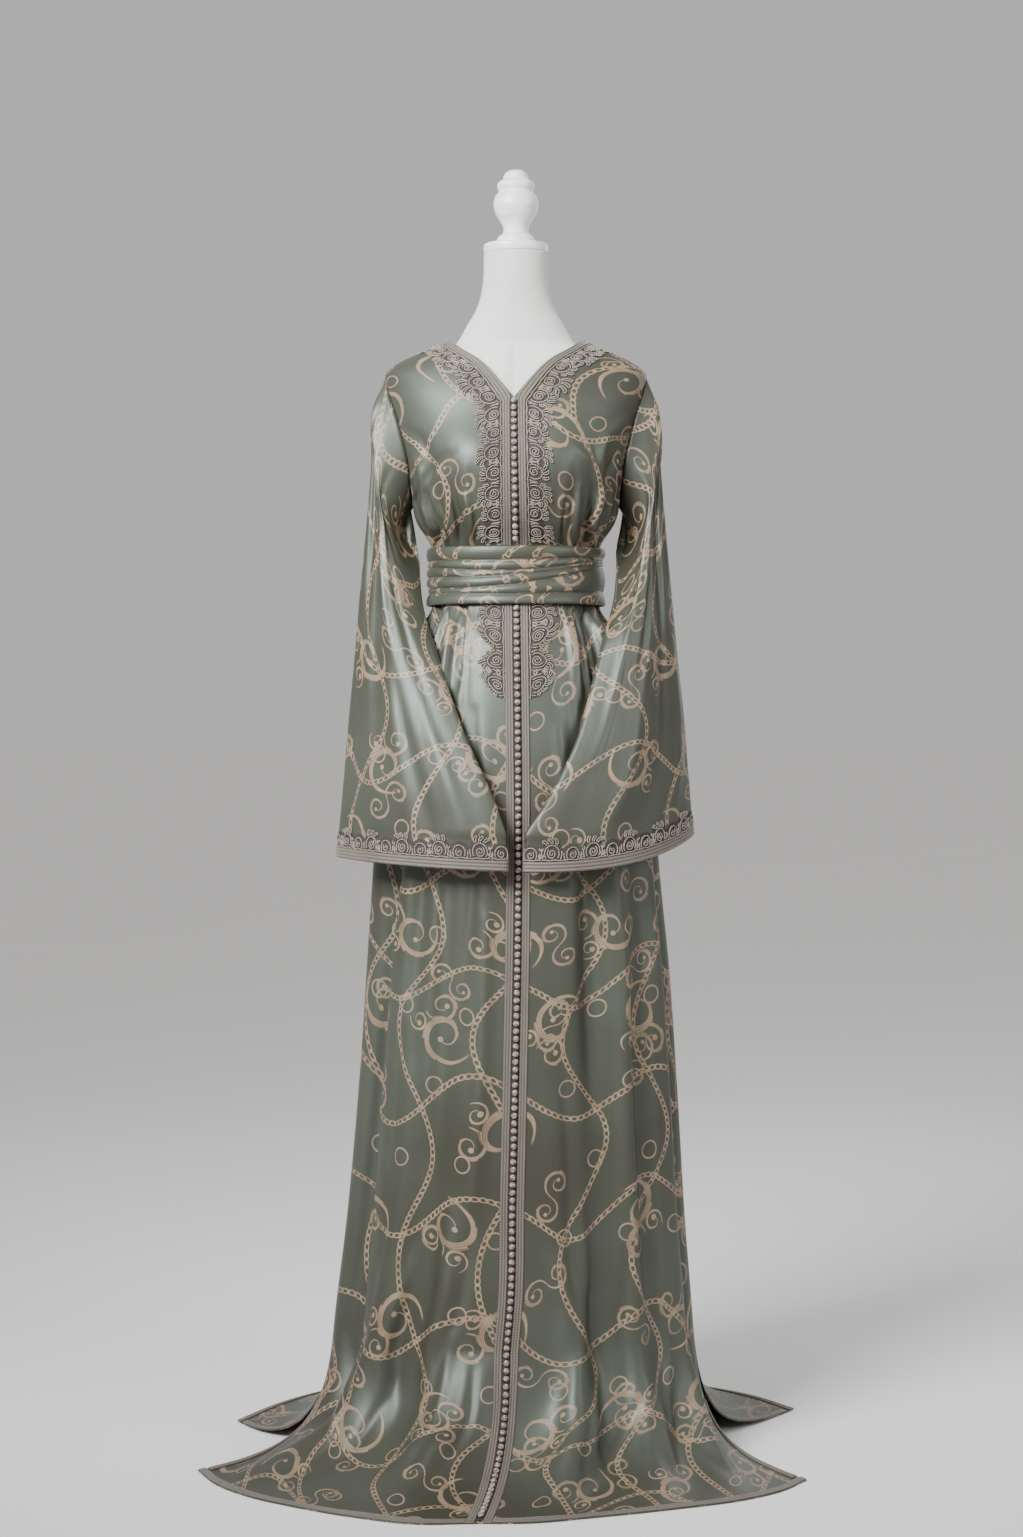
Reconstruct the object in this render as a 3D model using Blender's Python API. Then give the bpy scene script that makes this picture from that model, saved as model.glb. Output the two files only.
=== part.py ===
"""A floor-length kaftan worn by a limbless dress form.

Units are metres, +Z is up, the origin is under the stand on the floor, and the front faces -Y.
Left and right are the wearer's: the left side lies towards +X.
Every cloth wall is a grid of points on the garment's outside, with the same grid moved in by
the wall's thickness. Trims reuse the panel's own points, moved out.
"""

import math

import bpy
import numpy as np

# Cloth and trims
WALL = 0.0016
SEAM_GAP = 0.0004
TRIM_GAP = 0.0003
STRIP_GAP = 0.0008
BRAID_THICK = 0.0012
EMBROIDERY_THICK = 0.0016
BUTTON_HEIGHT = 0.0042
BUTTON_PITCH = 0.0098
BUTTON_TOP_SHARE = 0.6

SIDE_BRAID = 0.013
HEM_BRAID = 0.013

# Which way the cloth on the floor faces, against its distance from the middle
UPWARD = 0.05
# How far the front edge's wall may lean sideways in the train, and between which shares of the
# train the side seam opens into its slit
EDGE_TILT = 0.3
SLIT_OPENS = (0.5, 0.2)

# Heights of the main lines
NECK_TOP = 1.466
SHOULDER_TIP = 1.425
NECK_POINT = 1.381
ARMPIT = 1.245
BREAK = 0.16
BUST = 1.305
BUST_APART = 0.066
BUST_SPREAD = 0.042
BUST_OUT = 0.009

# Rows of the panels above the sash: the height of each at the front edge, or at the middle of
# the back, and its height at the armhole or side seam. The first front row is the shoulder seam.
ROW_COLUMNS = ("middle", "side")
SASH_ROW = 1.194
FRONT_ROWS = [
    (NECK_TOP, SHOULDER_TIP), (1.452, 1.408), (1.440, 1.390), (1.426, 1.370), (1.411, 1.350),
    (1.396, 1.330), (NECK_POINT, 1.310), (1.358, 1.292), (1.335, 1.275), (1.312, 1.260),
    (1.289, ARMPIT), (1.258, 1.228), (1.226, 1.211), (SASH_ROW, SASH_ROW),
]
BACK_ROWS = [
    (1.4520, NECK_TOP), (1.4435, 1.4607), (1.4370, 1.4500), (1.4310, 1.4375),
    (1.4220, SHOULDER_TIP), (1.405, 1.408), (1.388, 1.390), (1.369, 1.370), (1.350, 1.350),
    (1.330, 1.330), (1.310, 1.310), (1.292, 1.292), (1.275, 1.275), (1.260, 1.260),
    (ARMPIT, ARMPIT), (1.228, 1.228), (1.211, 1.211), (SASH_ROW, SASH_ROW),
]
# Level rows under the sash and down the skirt
WAIST_ROWS = [1.152, 1.110]
HIP_ROWS = [1.065, 1.048, 1.018, 0.985]
SKIRT_ROWS = [0.915, 0.79, 0.64, 0.48, 0.32, BREAK]
TRAIN_ROWS = [0.16, 0.32, 0.48, 0.66, 0.84]

# Distances from the front edge to the panel's first columns: the button row's edge, the
# braid's edge, and the two columns of the embroidery
EDGE_COLUMNS = ("z", "buttons", "braid", "embroidery_mid", "embroidery_edge")
EDGE_SPREAD = [
    (0.000, 0.0050, 0.0160, 0.036, 0.057), (1.110, 0.0050, 0.0160, 0.036, 0.057),
    (1.194, 0.0050, 0.0160, 0.033, 0.051), (1.358, 0.0050, 0.0160, 0.034, 0.054),
    (1.381, 0.0050, 0.0160, 0.035, 0.056), (1.411, 0.0045, 0.0135, 0.033, 0.052),
    (1.466, 0.0040, 0.0120, 0.030, 0.046),
]

# Gathers on each side of the front: how deep they are at each height
GATHERS = 5
GATHER_COLUMNS = ("z", "depth")
GATHER_DEPTHS = [(0.930, 0.0), (0.985, 0.0022), (1.060, 0.0045), (1.085, 0.0045), (1.112, 0.0007),
                 (1.192, 0.0007), (1.215, 0.0038), (1.230, 0.0038), (1.265, 0.0018), (1.300, 0.0)]
FRONT_CELLS = 2 * GATHERS
BACK_CELLS = 2 * (GATHERS - 1)

# The garment's outside at each height: half width, reach to the front and to the back, and how
# square the section is (2 is an ellipse)
SECTION_COLUMNS = ("z", "half_width", "front", "back", "power")
SECTIONS = [
    (0.00, 0.252, 0.205, 0.215, 2.0),
    (0.16, 0.240, 0.190, 0.200, 2.0),
    (0.30, 0.223, 0.174, 0.182, 2.0),
    (0.50, 0.205, 0.162, 0.168, 2.0),
    (0.70, 0.192, 0.155, 0.158, 2.0),
    (0.85, 0.181, 0.147, 0.150, 2.05),
    (0.95, 0.167, 0.137, 0.141, 2.1),
    (1.03, 0.148, 0.122, 0.123, 2.1),
    (1.08, 0.130, 0.108, 0.105, 2.1),
    (1.110, 0.1125, 0.094, 0.087, 2.1),
    (1.152, 0.1095, 0.091, 0.082, 2.1),
    (1.194, 0.1130, 0.096, 0.087, 2.1),
    (1.222, 0.130, 0.115, 0.101, 2.1),
    (1.262, 0.140, 0.125, 0.109, 2.15),
    (1.305, 0.149, 0.124, 0.112, 2.15),
    (1.355, 0.163, 0.108, 0.107, 2.1),
    (1.405, 0.173, 0.088, 0.092, 2.0),
    (1.425, 0.171, 0.076, 0.081, 1.95),
    (1.440, 0.150, 0.067, 0.072, 1.9),
    (1.452, 0.122, 0.057, 0.062, 1.9),
    (1.466, 0.088, 0.047, 0.050, 1.95),
]

# The neckline's half width at each height
NECKLINE_COLUMNS = ("z", "half_width")
NECKLINE = [
    (1.381, 0.0), (1.394, 0.0100), (1.411, 0.0235), (1.426, 0.0365), (1.436, 0.0475),
    (1.449, 0.0680), (1.466, 0.0880),
]

# How far round the front or back panel reaches at the armhole, in degrees from its middle
ARMHOLE_COLUMNS = ("z", "front", "back")
ARMHOLE = [
    (1.245, 90.0, 90.0), (1.262, 80.0, 80.0), (1.282, 75.0, 74.0), (1.305, 72.0, 71.0),
    (1.330, 71.0, 70.0), (1.355, 71.0, 70.0), (1.381, 74.0, 74.0), (1.405, 80.0, 80.0),
    (1.425, 90.0, 90.0),
]

# Long folds of the skirt: the angle of each from the panel's middle, its half width, and how far
# it stands out (or in, below zero) at the hip and at the floor
FOLD_COLUMNS = ("hip_angle", "floor_angle", "half_width", "hip_depth", "floor_depth")
FOLDS = {
    ("front", "right"): [
        (17, 15, 7, 0.0030, 0.0040), (30, 30, 8, -0.0060, -0.0090),
        (47, 48, 8, 0.0060, 0.0110), (62, 63, 8, -0.0220, -0.0260), (80, 80, 7, 0.0040, 0.0050),
    ],
    ("front", "left"): [
        (16, 18, 8, 0.0030, 0.0050), (31, 30, 9, -0.0050, -0.0110), (45, 44, 6, 0.0010, 0.0100),
        (55, 56, 6, -0.0050, -0.0090), (65, 65, 6, 0.0080, 0.0110), (75, 75, 6, -0.0170, -0.0210),
    ],
    ("back", "right"): [
        (12, 12, 8, -0.0080, -0.0130), (27, 27, 8, 0.0070, 0.0100), (43, 43, 8, -0.0130, -0.0180),
        (58, 59, 8, 0.0080, 0.0110), (72, 72, 7, -0.0090, -0.0130),
    ],
    ("back", "left"): [
        (13, 14, 8, -0.0080, -0.0130), (29, 30, 8, 0.0080, 0.0110), (44, 46, 8, -0.0140, -0.0190),
        (60, 61, 8, 0.0080, 0.0110), (74, 74, 7, -0.0070, -0.0100),
    ],
}
# How much further out the left side seam hangs than the right one
LEAN_COLUMNS = ("z", "out")
LEFT_LEAN = [(0.0, -0.004), (0.16, -0.003), (0.30, 0.003), (0.45, 0.008), (0.60, 0.009),
             (0.75, 0.004), (0.90, 0.0)]
FOLD_TOP = 1.09
FOLD_FULL = 0.86
FOLD_SEAM = 84.0

# The hem on the floor, from the panel's middle to the corner of its side slit
HEM_COLUMNS = ("x", "y")
HEMS = {
    ("front", "right"): [
        (-0.046, -0.394), (-0.124, -0.396), (-0.199, -0.367), (-0.275, -0.323),
        (-0.336, -0.277), (-0.377, -0.228), (-0.408, -0.162),
    ],
    ("front", "left"): [
        (-0.046, -0.394), (0.019, -0.392), (0.093, -0.370), (0.192, -0.335),
        (0.290, -0.290), (0.334, -0.254), (0.368, -0.206),
    ],
    ("back", "right"): [
        (0.0, 0.350), (-0.100, 0.342), (-0.195, 0.308), (-0.270, 0.255), (-0.330, 0.185),
        (-0.382, 0.088),
    ],
    ("back", "left"): [
        (0.0, 0.350), (0.100, 0.344), (0.195, 0.316), (0.272, 0.276), (0.335, 0.226),
        (0.388, 0.152),
    ],
}
# How the cloth turns from hanging to lying: how far it flares as it nears the floor, the height
# that pulls its turn down, the height it lies at behind the hem, and how far along it gets there
TRAIN_FLARE = 0.010
TRAIN_SHIN = 0.040
TRAIN_SOLE = 0.010
TRAIN_FOOT = 0.34
TRAIN_KNEE = 3 * TRAIN_FLARE
# The share of the panel's width where the slit's own bend begins, and how much lower it hangs there
SLIT_FROM = 0.72
SLIT_SHIN = 0.5
SLIT_SOLE = 0.4
# The point on the floor that each side slit's edge bends towards
SLIT_BEND = {
    ("front", "right"): (-0.290, -0.070), ("front", "left"): (0.262, -0.060),
    ("back", "right"): (-0.306, -0.055), ("back", "left"): (0.280, -0.008),
}

# Soft waves of the cloth that lies on the floor: their place across it (0 in the middle, 1 at
# the left side, -1 at the right side) at the break and at the hem, their half width on that
# scale, and their height
WAVE_COLUMNS = ("break_at", "hem_at", "half_width", "height")
# A wave pushes out where the cloth still hangs and up where it lies, between these shares of the
# train, and it dies away before the slit
WAVE_LIES = (0.15, 0.60)
WAVE_OUT_LYING = 0.4
WAVE_END = (1.0, 0.9)
WAVE_PEAK = 0.8
WAVE_SHARPNESS = 1.2
WAVES = {
    "front": [(-0.56, -0.80, 0.08, 0.022), (-0.08, -0.28, 0.12, 0.034), (0.30, 0.15, 0.09, 0.024),
              (0.46, 0.50, 0.07, 0.012), (0.68, 0.74, 0.07, 0.018)],
    "back": [(-0.62, -0.60, 0.10, 0.013), (-0.20, -0.22, 0.11, 0.014), (0.24, 0.26, 0.11, 0.014),
             (0.66, 0.64, 0.10, 0.013)],
}

# Steps along a row when its length is measured
PATH_SAMPLES = 241

# The sideways drift of the front edge towards the floor
FRONT_EDGE_COLUMNS = ("z", "x")
FRONT_EDGE = [(0.16, -0.0125), (0.22, -0.0075), (0.345, -0.0050), (0.52, -0.0010),
              (0.70, 0.0022), (0.80, 0.0028), (1.11, 0.0003), (1.381, -0.0030), (1.466, -0.0030)]

# Sleeves: the outer and inner edge of each cross-section from the armhole to the cuff, how far
# apart its two layers hang, how far it bows away from the body, and how deep its folds are
SLEEVE_COLUMNS = ("outer_x", "outer_y", "outer_z", "inner_x", "inner_y", "inner_z", "apart",
                  "bow", "fold")
SLEEVES = {
    "right": [
        (0.182, -0.004, 1.380, 0.149, -0.020, 1.212, 0.074, 0.000, 0.0020),
        (0.182, -0.008, 1.310, 0.136, -0.042, 1.160, 0.058, 0.002, 0.0040),
        (0.190, -0.012, 1.222, 0.125, -0.066, 1.105, 0.046, 0.006, 0.0045),
        (0.201, -0.015, 1.130, 0.1045, -0.098, 1.050, 0.038, 0.012, 0.0035),
        (0.210, -0.018, 1.045, 0.0850, -0.126, 0.994, 0.031, 0.018, 0.0025),
        (0.219, -0.022, 0.960, 0.0640, -0.150, 0.940, 0.028, 0.024, 0.0020),
        (0.227, -0.028, 0.875, 0.0360, -0.170, 0.880, 0.027, 0.029, 0.0015),
        (0.2315, -0.0315, 0.830, 0.0140, -0.181, 0.824, 0.027, 0.031, 0.0010),
        (0.2325, -0.032, 0.820, 0.0124, -0.181, 0.812, 0.027, 0.031, 0.0010),
        (0.2345, -0.034, 0.797, 0.0118, -0.182, 0.786, 0.027, 0.031, 0.0005),
        (0.2360, -0.035, 0.783, 0.0116, -0.183, 0.771, 0.027, 0.031, 0.0),
    ],
    "left": [
        (0.181, -0.004, 1.380, 0.152, -0.018, 1.212, 0.074, 0.000, 0.0020),
        (0.182, -0.008, 1.310, 0.142, -0.036, 1.160, 0.058, 0.002, 0.0040),
        (0.190, -0.012, 1.222, 0.131, -0.060, 1.110, 0.046, 0.006, 0.0045),
        (0.200, -0.015, 1.130, 0.1130, -0.094, 1.060, 0.038, 0.012, 0.0035),
        (0.210, -0.018, 1.045, 0.0950, -0.122, 0.994, 0.031, 0.018, 0.0025),
        (0.219, -0.022, 0.970, 0.0770, -0.146, 0.935, 0.028, 0.024, 0.0020),
        (0.226, -0.028, 0.895, 0.0440, -0.168, 0.868, 0.027, 0.029, 0.0015),
        (0.2295, -0.0315, 0.859, 0.0130, -0.181, 0.822, 0.027, 0.031, 0.0010),
        (0.2302, -0.032, 0.849, 0.0116, -0.181, 0.810, 0.027, 0.031, 0.0010),
        (0.2318, -0.034, 0.826, 0.0110, -0.182, 0.785, 0.027, 0.031, 0.0005),
        (0.2330, -0.035, 0.812, 0.0105, -0.183, 0.770, 0.027, 0.031, 0.0),
    ],
}
CUFF_SAG = {"right": 0.0, "left": 0.012}
SAG_HEIGHTS = (1.0, 0.8)
SLEEVE_FOLDS = 3
LAYER_FLATNESS = 0.75
ARMHOLE_ROWS = [side for _, side in FRONT_ROWS if ARMPIT < side < SHOULDER_TIP]
SLEEVE_RING = 2 * len(ARMHOLE_ROWS) + 2
SLEEVE_ROWS = 10
CUFF_ROWS = 3

# Sash
BELT_SIDES = 32
BELT_CLEAR = 0.0034
BELT_WALL = 0.0020
# The body's width under the sash's edges is read no further than these heights
BELT_READ = (1.112, 1.192)
# Its draped folds: height at the right side, the middle and the left side, and how far each
# stands out
DRAPE_COLUMNS = ("right", "middle", "left", "out")
DRAPES = [
    (1.182, 1.183, 1.181, 0.0018), (1.166, 1.172, 1.168, 0.0028), (1.148, 1.152, 1.160, 0.0034),
    (1.136, 1.139, 1.148, 0.0030), (1.121, 1.121, 1.122, 0.0016),
]
DRAPE_WIDTH = 0.0075
BELT_ROWS = [1.190, 1.184, 1.177, 1.169, 1.160, 1.151, 1.142, 1.133, 1.124, 1.118, 1.114]

# Dress form: how far its skin lies inside the garment's outside, then its neck
FORM_COLUMNS = ("z", "inset")
FORM_INSETS = [
    (0.86, 0.036), (0.92, 0.030), (1.00, 0.024), (1.05, 0.018), (1.11, 0.0075), (1.15, 0.0065),
    (1.19, 0.0085), (1.24, 0.016), (1.305, 0.0085), (1.36, 0.0060), (1.405, 0.0085),
    (1.44, 0.0120), (1.456, 0.0120),
]
FORM_ROWS = [0.860, 0.880, 0.95, 1.02, 1.07, 1.11, 1.15, 1.19, 1.24, 1.29, 1.335, 1.375, 1.405,
             1.425, 1.440, 1.451]
NECK_COLUMNS = ("z", "half_width", "front", "back")
NECK = [
    (1.4610, 0.0800, 0.0400, 0.0425), (1.470, 0.0740, 0.0400, 0.0425),
    (1.478, 0.0695, 0.0400, 0.0430),
    (1.488, 0.0640, 0.0400, 0.0430), (1.503, 0.0548, 0.0395, 0.0425),
    (1.520, 0.0482, 0.0400, 0.0425), (1.540, 0.0442, 0.0415, 0.0425),
    (1.581, 0.0425, 0.0425, 0.0425),
]
FORM_SIDES = 24

# Turned cap and finial on the neck
PROFILE_COLUMNS = ("z", "radius")
CAP = [(1.5814, 0.0418), (1.5830, 0.0428), (1.5920, 0.0428), (1.5936, 0.0416)]
FINIAL = [
    (1.5940, 0.0262), (1.5985, 0.0258), (1.6045, 0.0226), (1.6062, 0.0196), (1.6090, 0.0172),
    (1.6150, 0.0168), (1.6230, 0.0205), (1.6340, 0.0272), (1.6455, 0.0299), (1.6560, 0.0281),
    (1.6640, 0.0232), (1.6680, 0.0246), (1.6720, 0.0250), (1.6765, 0.0222), (1.6790, 0.0180),
    (1.6865, 0.0150), (1.6920, 0.0085),
]
TURNED_SIDES = 16

# Stand under the form
POLE_RADIUS = 0.016
COLLAR_RADIUS = 0.030
COLLAR_STRAIGHT = 0.012
COLLAR_TAPER = 0.008
TOP_COLLAR_HEIGHT = 0.030
BASE_RADIUS = 0.150
BASE_THICK = 0.022
BASE_BEVEL = 0.006

COLOURS = {
    "satin": ((0.205, 0.232, 0.196), 0.42, 0.0),
    "braid": ((0.235, 0.205, 0.178), 0.60, 0.0),
    "embroidery": ((0.300, 0.270, 0.240), 0.60, 0.0),
    "buttons": ((0.330, 0.300, 0.270), 0.45, 0.0),
    "form_skin": ((0.800, 0.775, 0.755), 0.65, 0.0),
    "painted_wood": ((0.820, 0.800, 0.790), 0.35, 0.0),
}


# Reading the tables

def column(table, names, name):
    return np.array([row[names.index(name)] for row in table], float)


def smooth(xs, ys, x):
    """A smooth curve through the points (xs, ys), read at x."""
    xs, ys = np.asarray(xs, float), np.asarray(ys, float)
    x = np.clip(np.asarray(x, float), xs[0], xs[-1])
    slope = np.gradient(ys, xs)
    i = np.clip(np.searchsorted(xs, x, side="right") - 1, 0, len(xs) - 2)
    span = xs[i + 1] - xs[i]
    t = (x - xs[i]) / span
    a = (2 * t**3 - 3 * t**2 + 1) * ys[i] + (t**3 - 2 * t**2 + t) * span * slope[i]
    b = (3 * t**2 - 2 * t**3) * ys[i + 1] + (t**3 - t**2) * span * slope[i + 1]
    return a + b


def records(table, names):
    return [dict(zip(names, row)) for row in table]


def section_value(name, z):
    return smooth(column(SECTIONS, SECTION_COLUMNS, "z"),
                  column(SECTIONS, SECTION_COLUMNS, name), z)


def front_edge_x(z):
    return smooth(column(FRONT_EDGE, FRONT_EDGE_COLUMNS, "z"),
                  column(FRONT_EDGE, FRONT_EDGE_COLUMNS, "x"), z)


def ramp(low, high, x):
    t = np.clip((np.asarray(x, float) - low) / (high - low), 0.0, 1.0)
    return t * t * (3 - 2 * t)


def bump(x, half_width):
    return np.exp(-((x / half_width) ** 2))


# The garment's outside

def side_sign(side):
    return 1.0 if side == "left" else -1.0


def fold_out(face, side, angle, z):
    """How far the long folds push the skirt out at this angle and height."""
    share = ramp(FOLD_TOP, FOLD_FULL, z)
    down = ramp(FOLD_FULL, BREAK, z)
    out = np.zeros(np.broadcast(angle, z).shape)
    for fold in records(FOLDS[(face, side)], FOLD_COLUMNS):
        middle = fold["hip_angle"] + (fold["floor_angle"] - fold["hip_angle"]) * down
        depth = fold["hip_depth"] + (fold["floor_depth"] - fold["hip_depth"]) * down
        out = out + depth * bump(angle - middle, fold["half_width"])
    return out * share * ramp(90.0, FOLD_SEAM, angle)


def bust_out(face, x, z):
    if face == "back":
        return 0.0
    return BUST_OUT * bump(np.abs(x) - BUST_APART, BUST_SPREAD) * bump(z - BUST, BUST_SPREAD)


def skin(face, side, angle, z, folds=True, inset=0.0):
    """The garment's outside at an angle in degrees from the panel's middle, and a height."""
    angle, z = np.broadcast_arrays(np.asarray(angle, float), np.asarray(z, float))
    turn = np.radians(np.clip(angle, 0.0, 90.0))
    power = 2.0 / section_value("power", z)
    width = section_value("half_width", z)
    depth = section_value("front" if face == "front" else "back", z)
    out = (fold_out(face, side, angle, z) if folds else 0.0) - inset
    across = np.sin(turn) ** power
    along = np.maximum(np.cos(turn), 0.0) ** power
    normal_x, normal_y = across / width, along / depth
    size = np.sqrt(normal_x**2 + normal_y**2)
    x = width * across
    y = depth * along + bust_out(face, x, z)
    x, y = x + out * normal_x / size, y + out * normal_y / size
    if side == "left":
        lean = smooth(column(LEFT_LEAN, LEAN_COLUMNS, "z"),
                      column(LEFT_LEAN, LEAN_COLUMNS, "out"), z)
        x = x + lean * np.sin(turn) ** 2
    drift = front_edge_x(z) * (1.0 - np.sin(turn)) if face == "front" else 0.0
    towards = -1.0 if face == "front" else 1.0
    return np.stack([side_sign(side) * x + drift, towards * y, z], axis=-1)


def hem_point(face, side, share):
    hem = HEMS[(face, side)]
    xs, ys = column(hem, HEM_COLUMNS, "x"), column(hem, HEM_COLUMNS, "y")
    along = np.concatenate([[0.0], np.cumsum(np.hypot(np.diff(xs), np.diff(ys)))])
    at = np.asarray(share, float) * along[-1]
    return np.stack([smooth(along, xs, at), smooth(along, ys, at),
                     np.full_like(at, WALL)], axis=-1)


def train(face, side, share, t):
    """The cloth from the break down on to the floor: t is 0 at the break and 1 at the hem."""
    share, t = np.broadcast_arrays(np.asarray(share, float), np.asarray(t, float))
    start = skin(face, side, share * 90.0, BREAK)
    end = hem_point(face, side, share)
    out = start[..., :2] / np.linalg.norm(start[..., :2], axis=-1, keepdims=True)
    first, second = start.copy(), end.copy()
    at_seam = ramp(SLIT_FROM, 1.0, share)
    first[..., :2] += out * TRAIN_FLARE
    first[..., 2] = TRAIN_SHIN * (1 + (SLIT_SHIN - 1) * at_seam)
    knee = start[..., :2] + out * TRAIN_KNEE
    plain = knee + (end[..., :2] - knee) * TRAIN_FOOT
    bend = np.array(SLIT_BEND[(face, side)])
    second[..., :2] = plain + (bend - plain) * at_seam[..., None]
    second[..., 2] = TRAIN_SOLE * (1 + (SLIT_SOLE - 1) * at_seam)
    t = t[..., None]
    p = ((1 - t) ** 3 * start + 3 * (1 - t) ** 2 * t * first
         + 3 * (1 - t) * t**2 * second + t**3 * end)
    t = t[..., 0]
    lift = np.zeros_like(t)
    for wave in records(WAVES[face], WAVE_COLUMNS):
        middle = wave["break_at"] + (wave["hem_at"] - wave["break_at"]) * t
        lift = lift + wave["height"] * bump(side_sign(side) * share - middle, wave["half_width"])
    lift = lift * np.sin(math.pi * t**WAVE_PEAK) ** WAVE_SHARPNESS * ramp(*WAVE_END, share)
    lying = ramp(*WAVE_LIES, t)
    p[..., :2] += out * (lift * (1 + (WAVE_OUT_LYING - 1) * lying))[..., None]
    p[..., 2] += lift * lying
    return p


def first_angle(face, z):
    """The angle of a panel's first column: the neckline, or the middle below it."""
    if face == "back":
        return 0.0
    wide = smooth(column(NECKLINE, NECKLINE_COLUMNS, "z"),
                  column(NECKLINE, NECKLINE_COLUMNS, "half_width"), z)
    ratio = np.clip(wide / section_value("half_width", z), 0.0, 1.0)
    angle = np.degrees(np.arcsin(ratio ** (section_value("power", z) / 2.0)))
    return np.where(z > NECK_POINT, angle, 0.0)


def last_angle(face, z):
    """The angle of a panel's last column: the armhole, or the side seam."""
    angle = smooth(column(ARMHOLE, ARMHOLE_COLUMNS, "z"),
                   column(ARMHOLE, ARMHOLE_COLUMNS, face), z)
    return np.where((z > ARMPIT) & (z < SHOULDER_TIP), angle, 90.0)


def plain_point(face, side, share, row):
    """A point of the panel without gathers: share is 0 at its middle edge and 1 at its side."""
    share = np.asarray(share, float)
    if row[0] == "train":
        return train(face, side, share, row[1])
    _, middle, end = row
    rise = ramp(0.0, 1.0, share) if face == "back" else share
    z = middle + (end - middle) * rise
    first, last = first_angle(face, middle), last_angle(face, end)
    return skin(face, side, first + (last - first) * share, z)


def gather_depth(z):
    """How deep the gathers are: shallow under the sash and deepest just above and below it."""
    return np.interp(z, column(GATHER_DEPTHS, GATHER_COLUMNS, "z"),
                     column(GATHER_DEPTHS, GATHER_COLUMNS, "depth"))


def column_distances(face, z, length):
    """Distances from the panel's middle edge to its columns, in a row that starts at height z."""
    if face == "front":
        heights = column(EDGE_SPREAD, EDGE_COLUMNS, "z")
        fixed = [smooth(heights, column(EDGE_SPREAD, EDGE_COLUMNS, name), z)
                 for name in EDGE_COLUMNS[1:]]
        start, cell_count = fixed.pop(), FRONT_CELLS
        fixed = [0.0, *fixed]
    else:
        fixed, start, cell_count = [], 0.0, BACK_CELLS
    return np.concatenate([fixed, np.linspace(start, length - SIDE_BRAID, cell_count + 1),
                           [length]])


def gathered(points, first_cell, cell_count, face):
    """Points of one row, pushed in and out by turns across its gathers."""
    index = np.arange(len(points)) - first_cell
    wave = np.where((index >= 0) & (index < cell_count), -np.cos(math.pi * index), 0.0)
    if face == "front":
        wave = np.where(index == 0, 0.0, wave)
    away = points[:, :2] / np.linalg.norm(points[:, :2], axis=1)[:, None]
    moved = points.copy()
    moved[:, :2] += away * (wave * gather_depth(points[:, 2]))[:, None]
    return moved


def panel_half(face, side, rows):
    """The grid of one side of a panel, from its middle edge to its side."""
    samples = np.linspace(0.0, 1.0, PATH_SAMPLES)
    cell_count = FRONT_CELLS if face == "front" else BACK_CELLS
    grid = []
    for row in rows:
        path = plain_point(face, side, samples, row)
        along = np.concatenate([[0.0], np.cumsum(np.linalg.norm(np.diff(path, axis=0), axis=1))])
        start_z = row[1] if row[0] == "height" else 0.0
        at = column_distances(face, start_z, along[-1])
        points = plain_point(face, side, np.interp(at, along, samples), row)
        if row[0] == "height":
            points = gathered(points, len(at) - 2 - cell_count, cell_count, face)
        grid.append(points)
    return np.array(grid)


def panel_rows(face, side):
    """Every row of a panel: by its heights down to the break, then by its share of the train."""
    upper = FRONT_ROWS if face == "front" else BACK_ROWS
    rows = [("height", row["middle"], row["side"]) for row in records(upper, ROW_COLUMNS)]
    rows += [("height", z, z) for z in WAIST_ROWS + HIP_ROWS + SKIRT_ROWS]
    shares, step = np.linspace(0.0, 1.0, GATHERS), 0.02
    last = train(face, side, shares, 1.0) - train(face, side, shares, 1.0 - step)
    braid_top = 1.0 - step * HEM_BRAID / float(np.linalg.norm(last, axis=1).mean())
    return rows + [("train", t) for t in (*TRAIN_ROWS, braid_top, 1.0)]


def row_at(rows, z):
    """The index of the row that starts at this height."""
    return next(i for i, row in enumerate(rows) if row[0] == "height" and row[1] == z)


# Meshes

def cell_triangles(i, j, columns, closed=False):
    """A grid cell's two triangles. Its diagonal turns from cell to cell, as on a chessboard."""
    a, b = i * columns + j, i * columns + ((j + 1) % columns if closed else j + 1)
    c, d = b + columns, a + columns
    return [(a, d, c), (a, c, b)] if (i + j) % 2 == 0 else [(a, d, b), (b, d, c)]


def grid_triangles(rows, columns, closed=False):
    found = []
    for i in range(rows - 1):
        for j in range(columns if closed else columns - 1):
            found += cell_triangles(i, j, columns, closed)
    return found


def grid_normals(points, triangles):
    total = np.zeros_like(points)
    for a, b, c in triangles:
        face = np.cross(points[b] - points[a], points[c] - points[a])
        for k in (a, b, c):
            total[k] += face
    return total / np.linalg.norm(total, axis=1)[:, None]


def boundary_edges(triangles):
    edges = {}
    for a, b, c in triangles:
        for edge in ((a, b), (b, c), (c, a)):
            edges[edge] = True
    return [edge for edge in edges if (edge[1], edge[0]) not in edges]


def shell(name, outer, inner, triangles, material):
    """One closed solid between an outer and an inner layer of the same triangles."""
    used = sorted({k for triangle in triangles for k in triangle})
    place = {k: n for n, k in enumerate(used)}
    count = len(used)
    points = np.concatenate([outer[used], inner[used]])
    faces = []
    for a, b, c in triangles:
        faces.append((place[a], place[b], place[c]))
        faces.append((place[a] + count, place[c] + count, place[b] + count))
    for a, b in boundary_edges(triangles):
        a, b = place[a], place[b]
        faces += [(b, a, a + count), (b, a + count, b + count)]
    return solid(name, points, faces, material)


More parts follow.
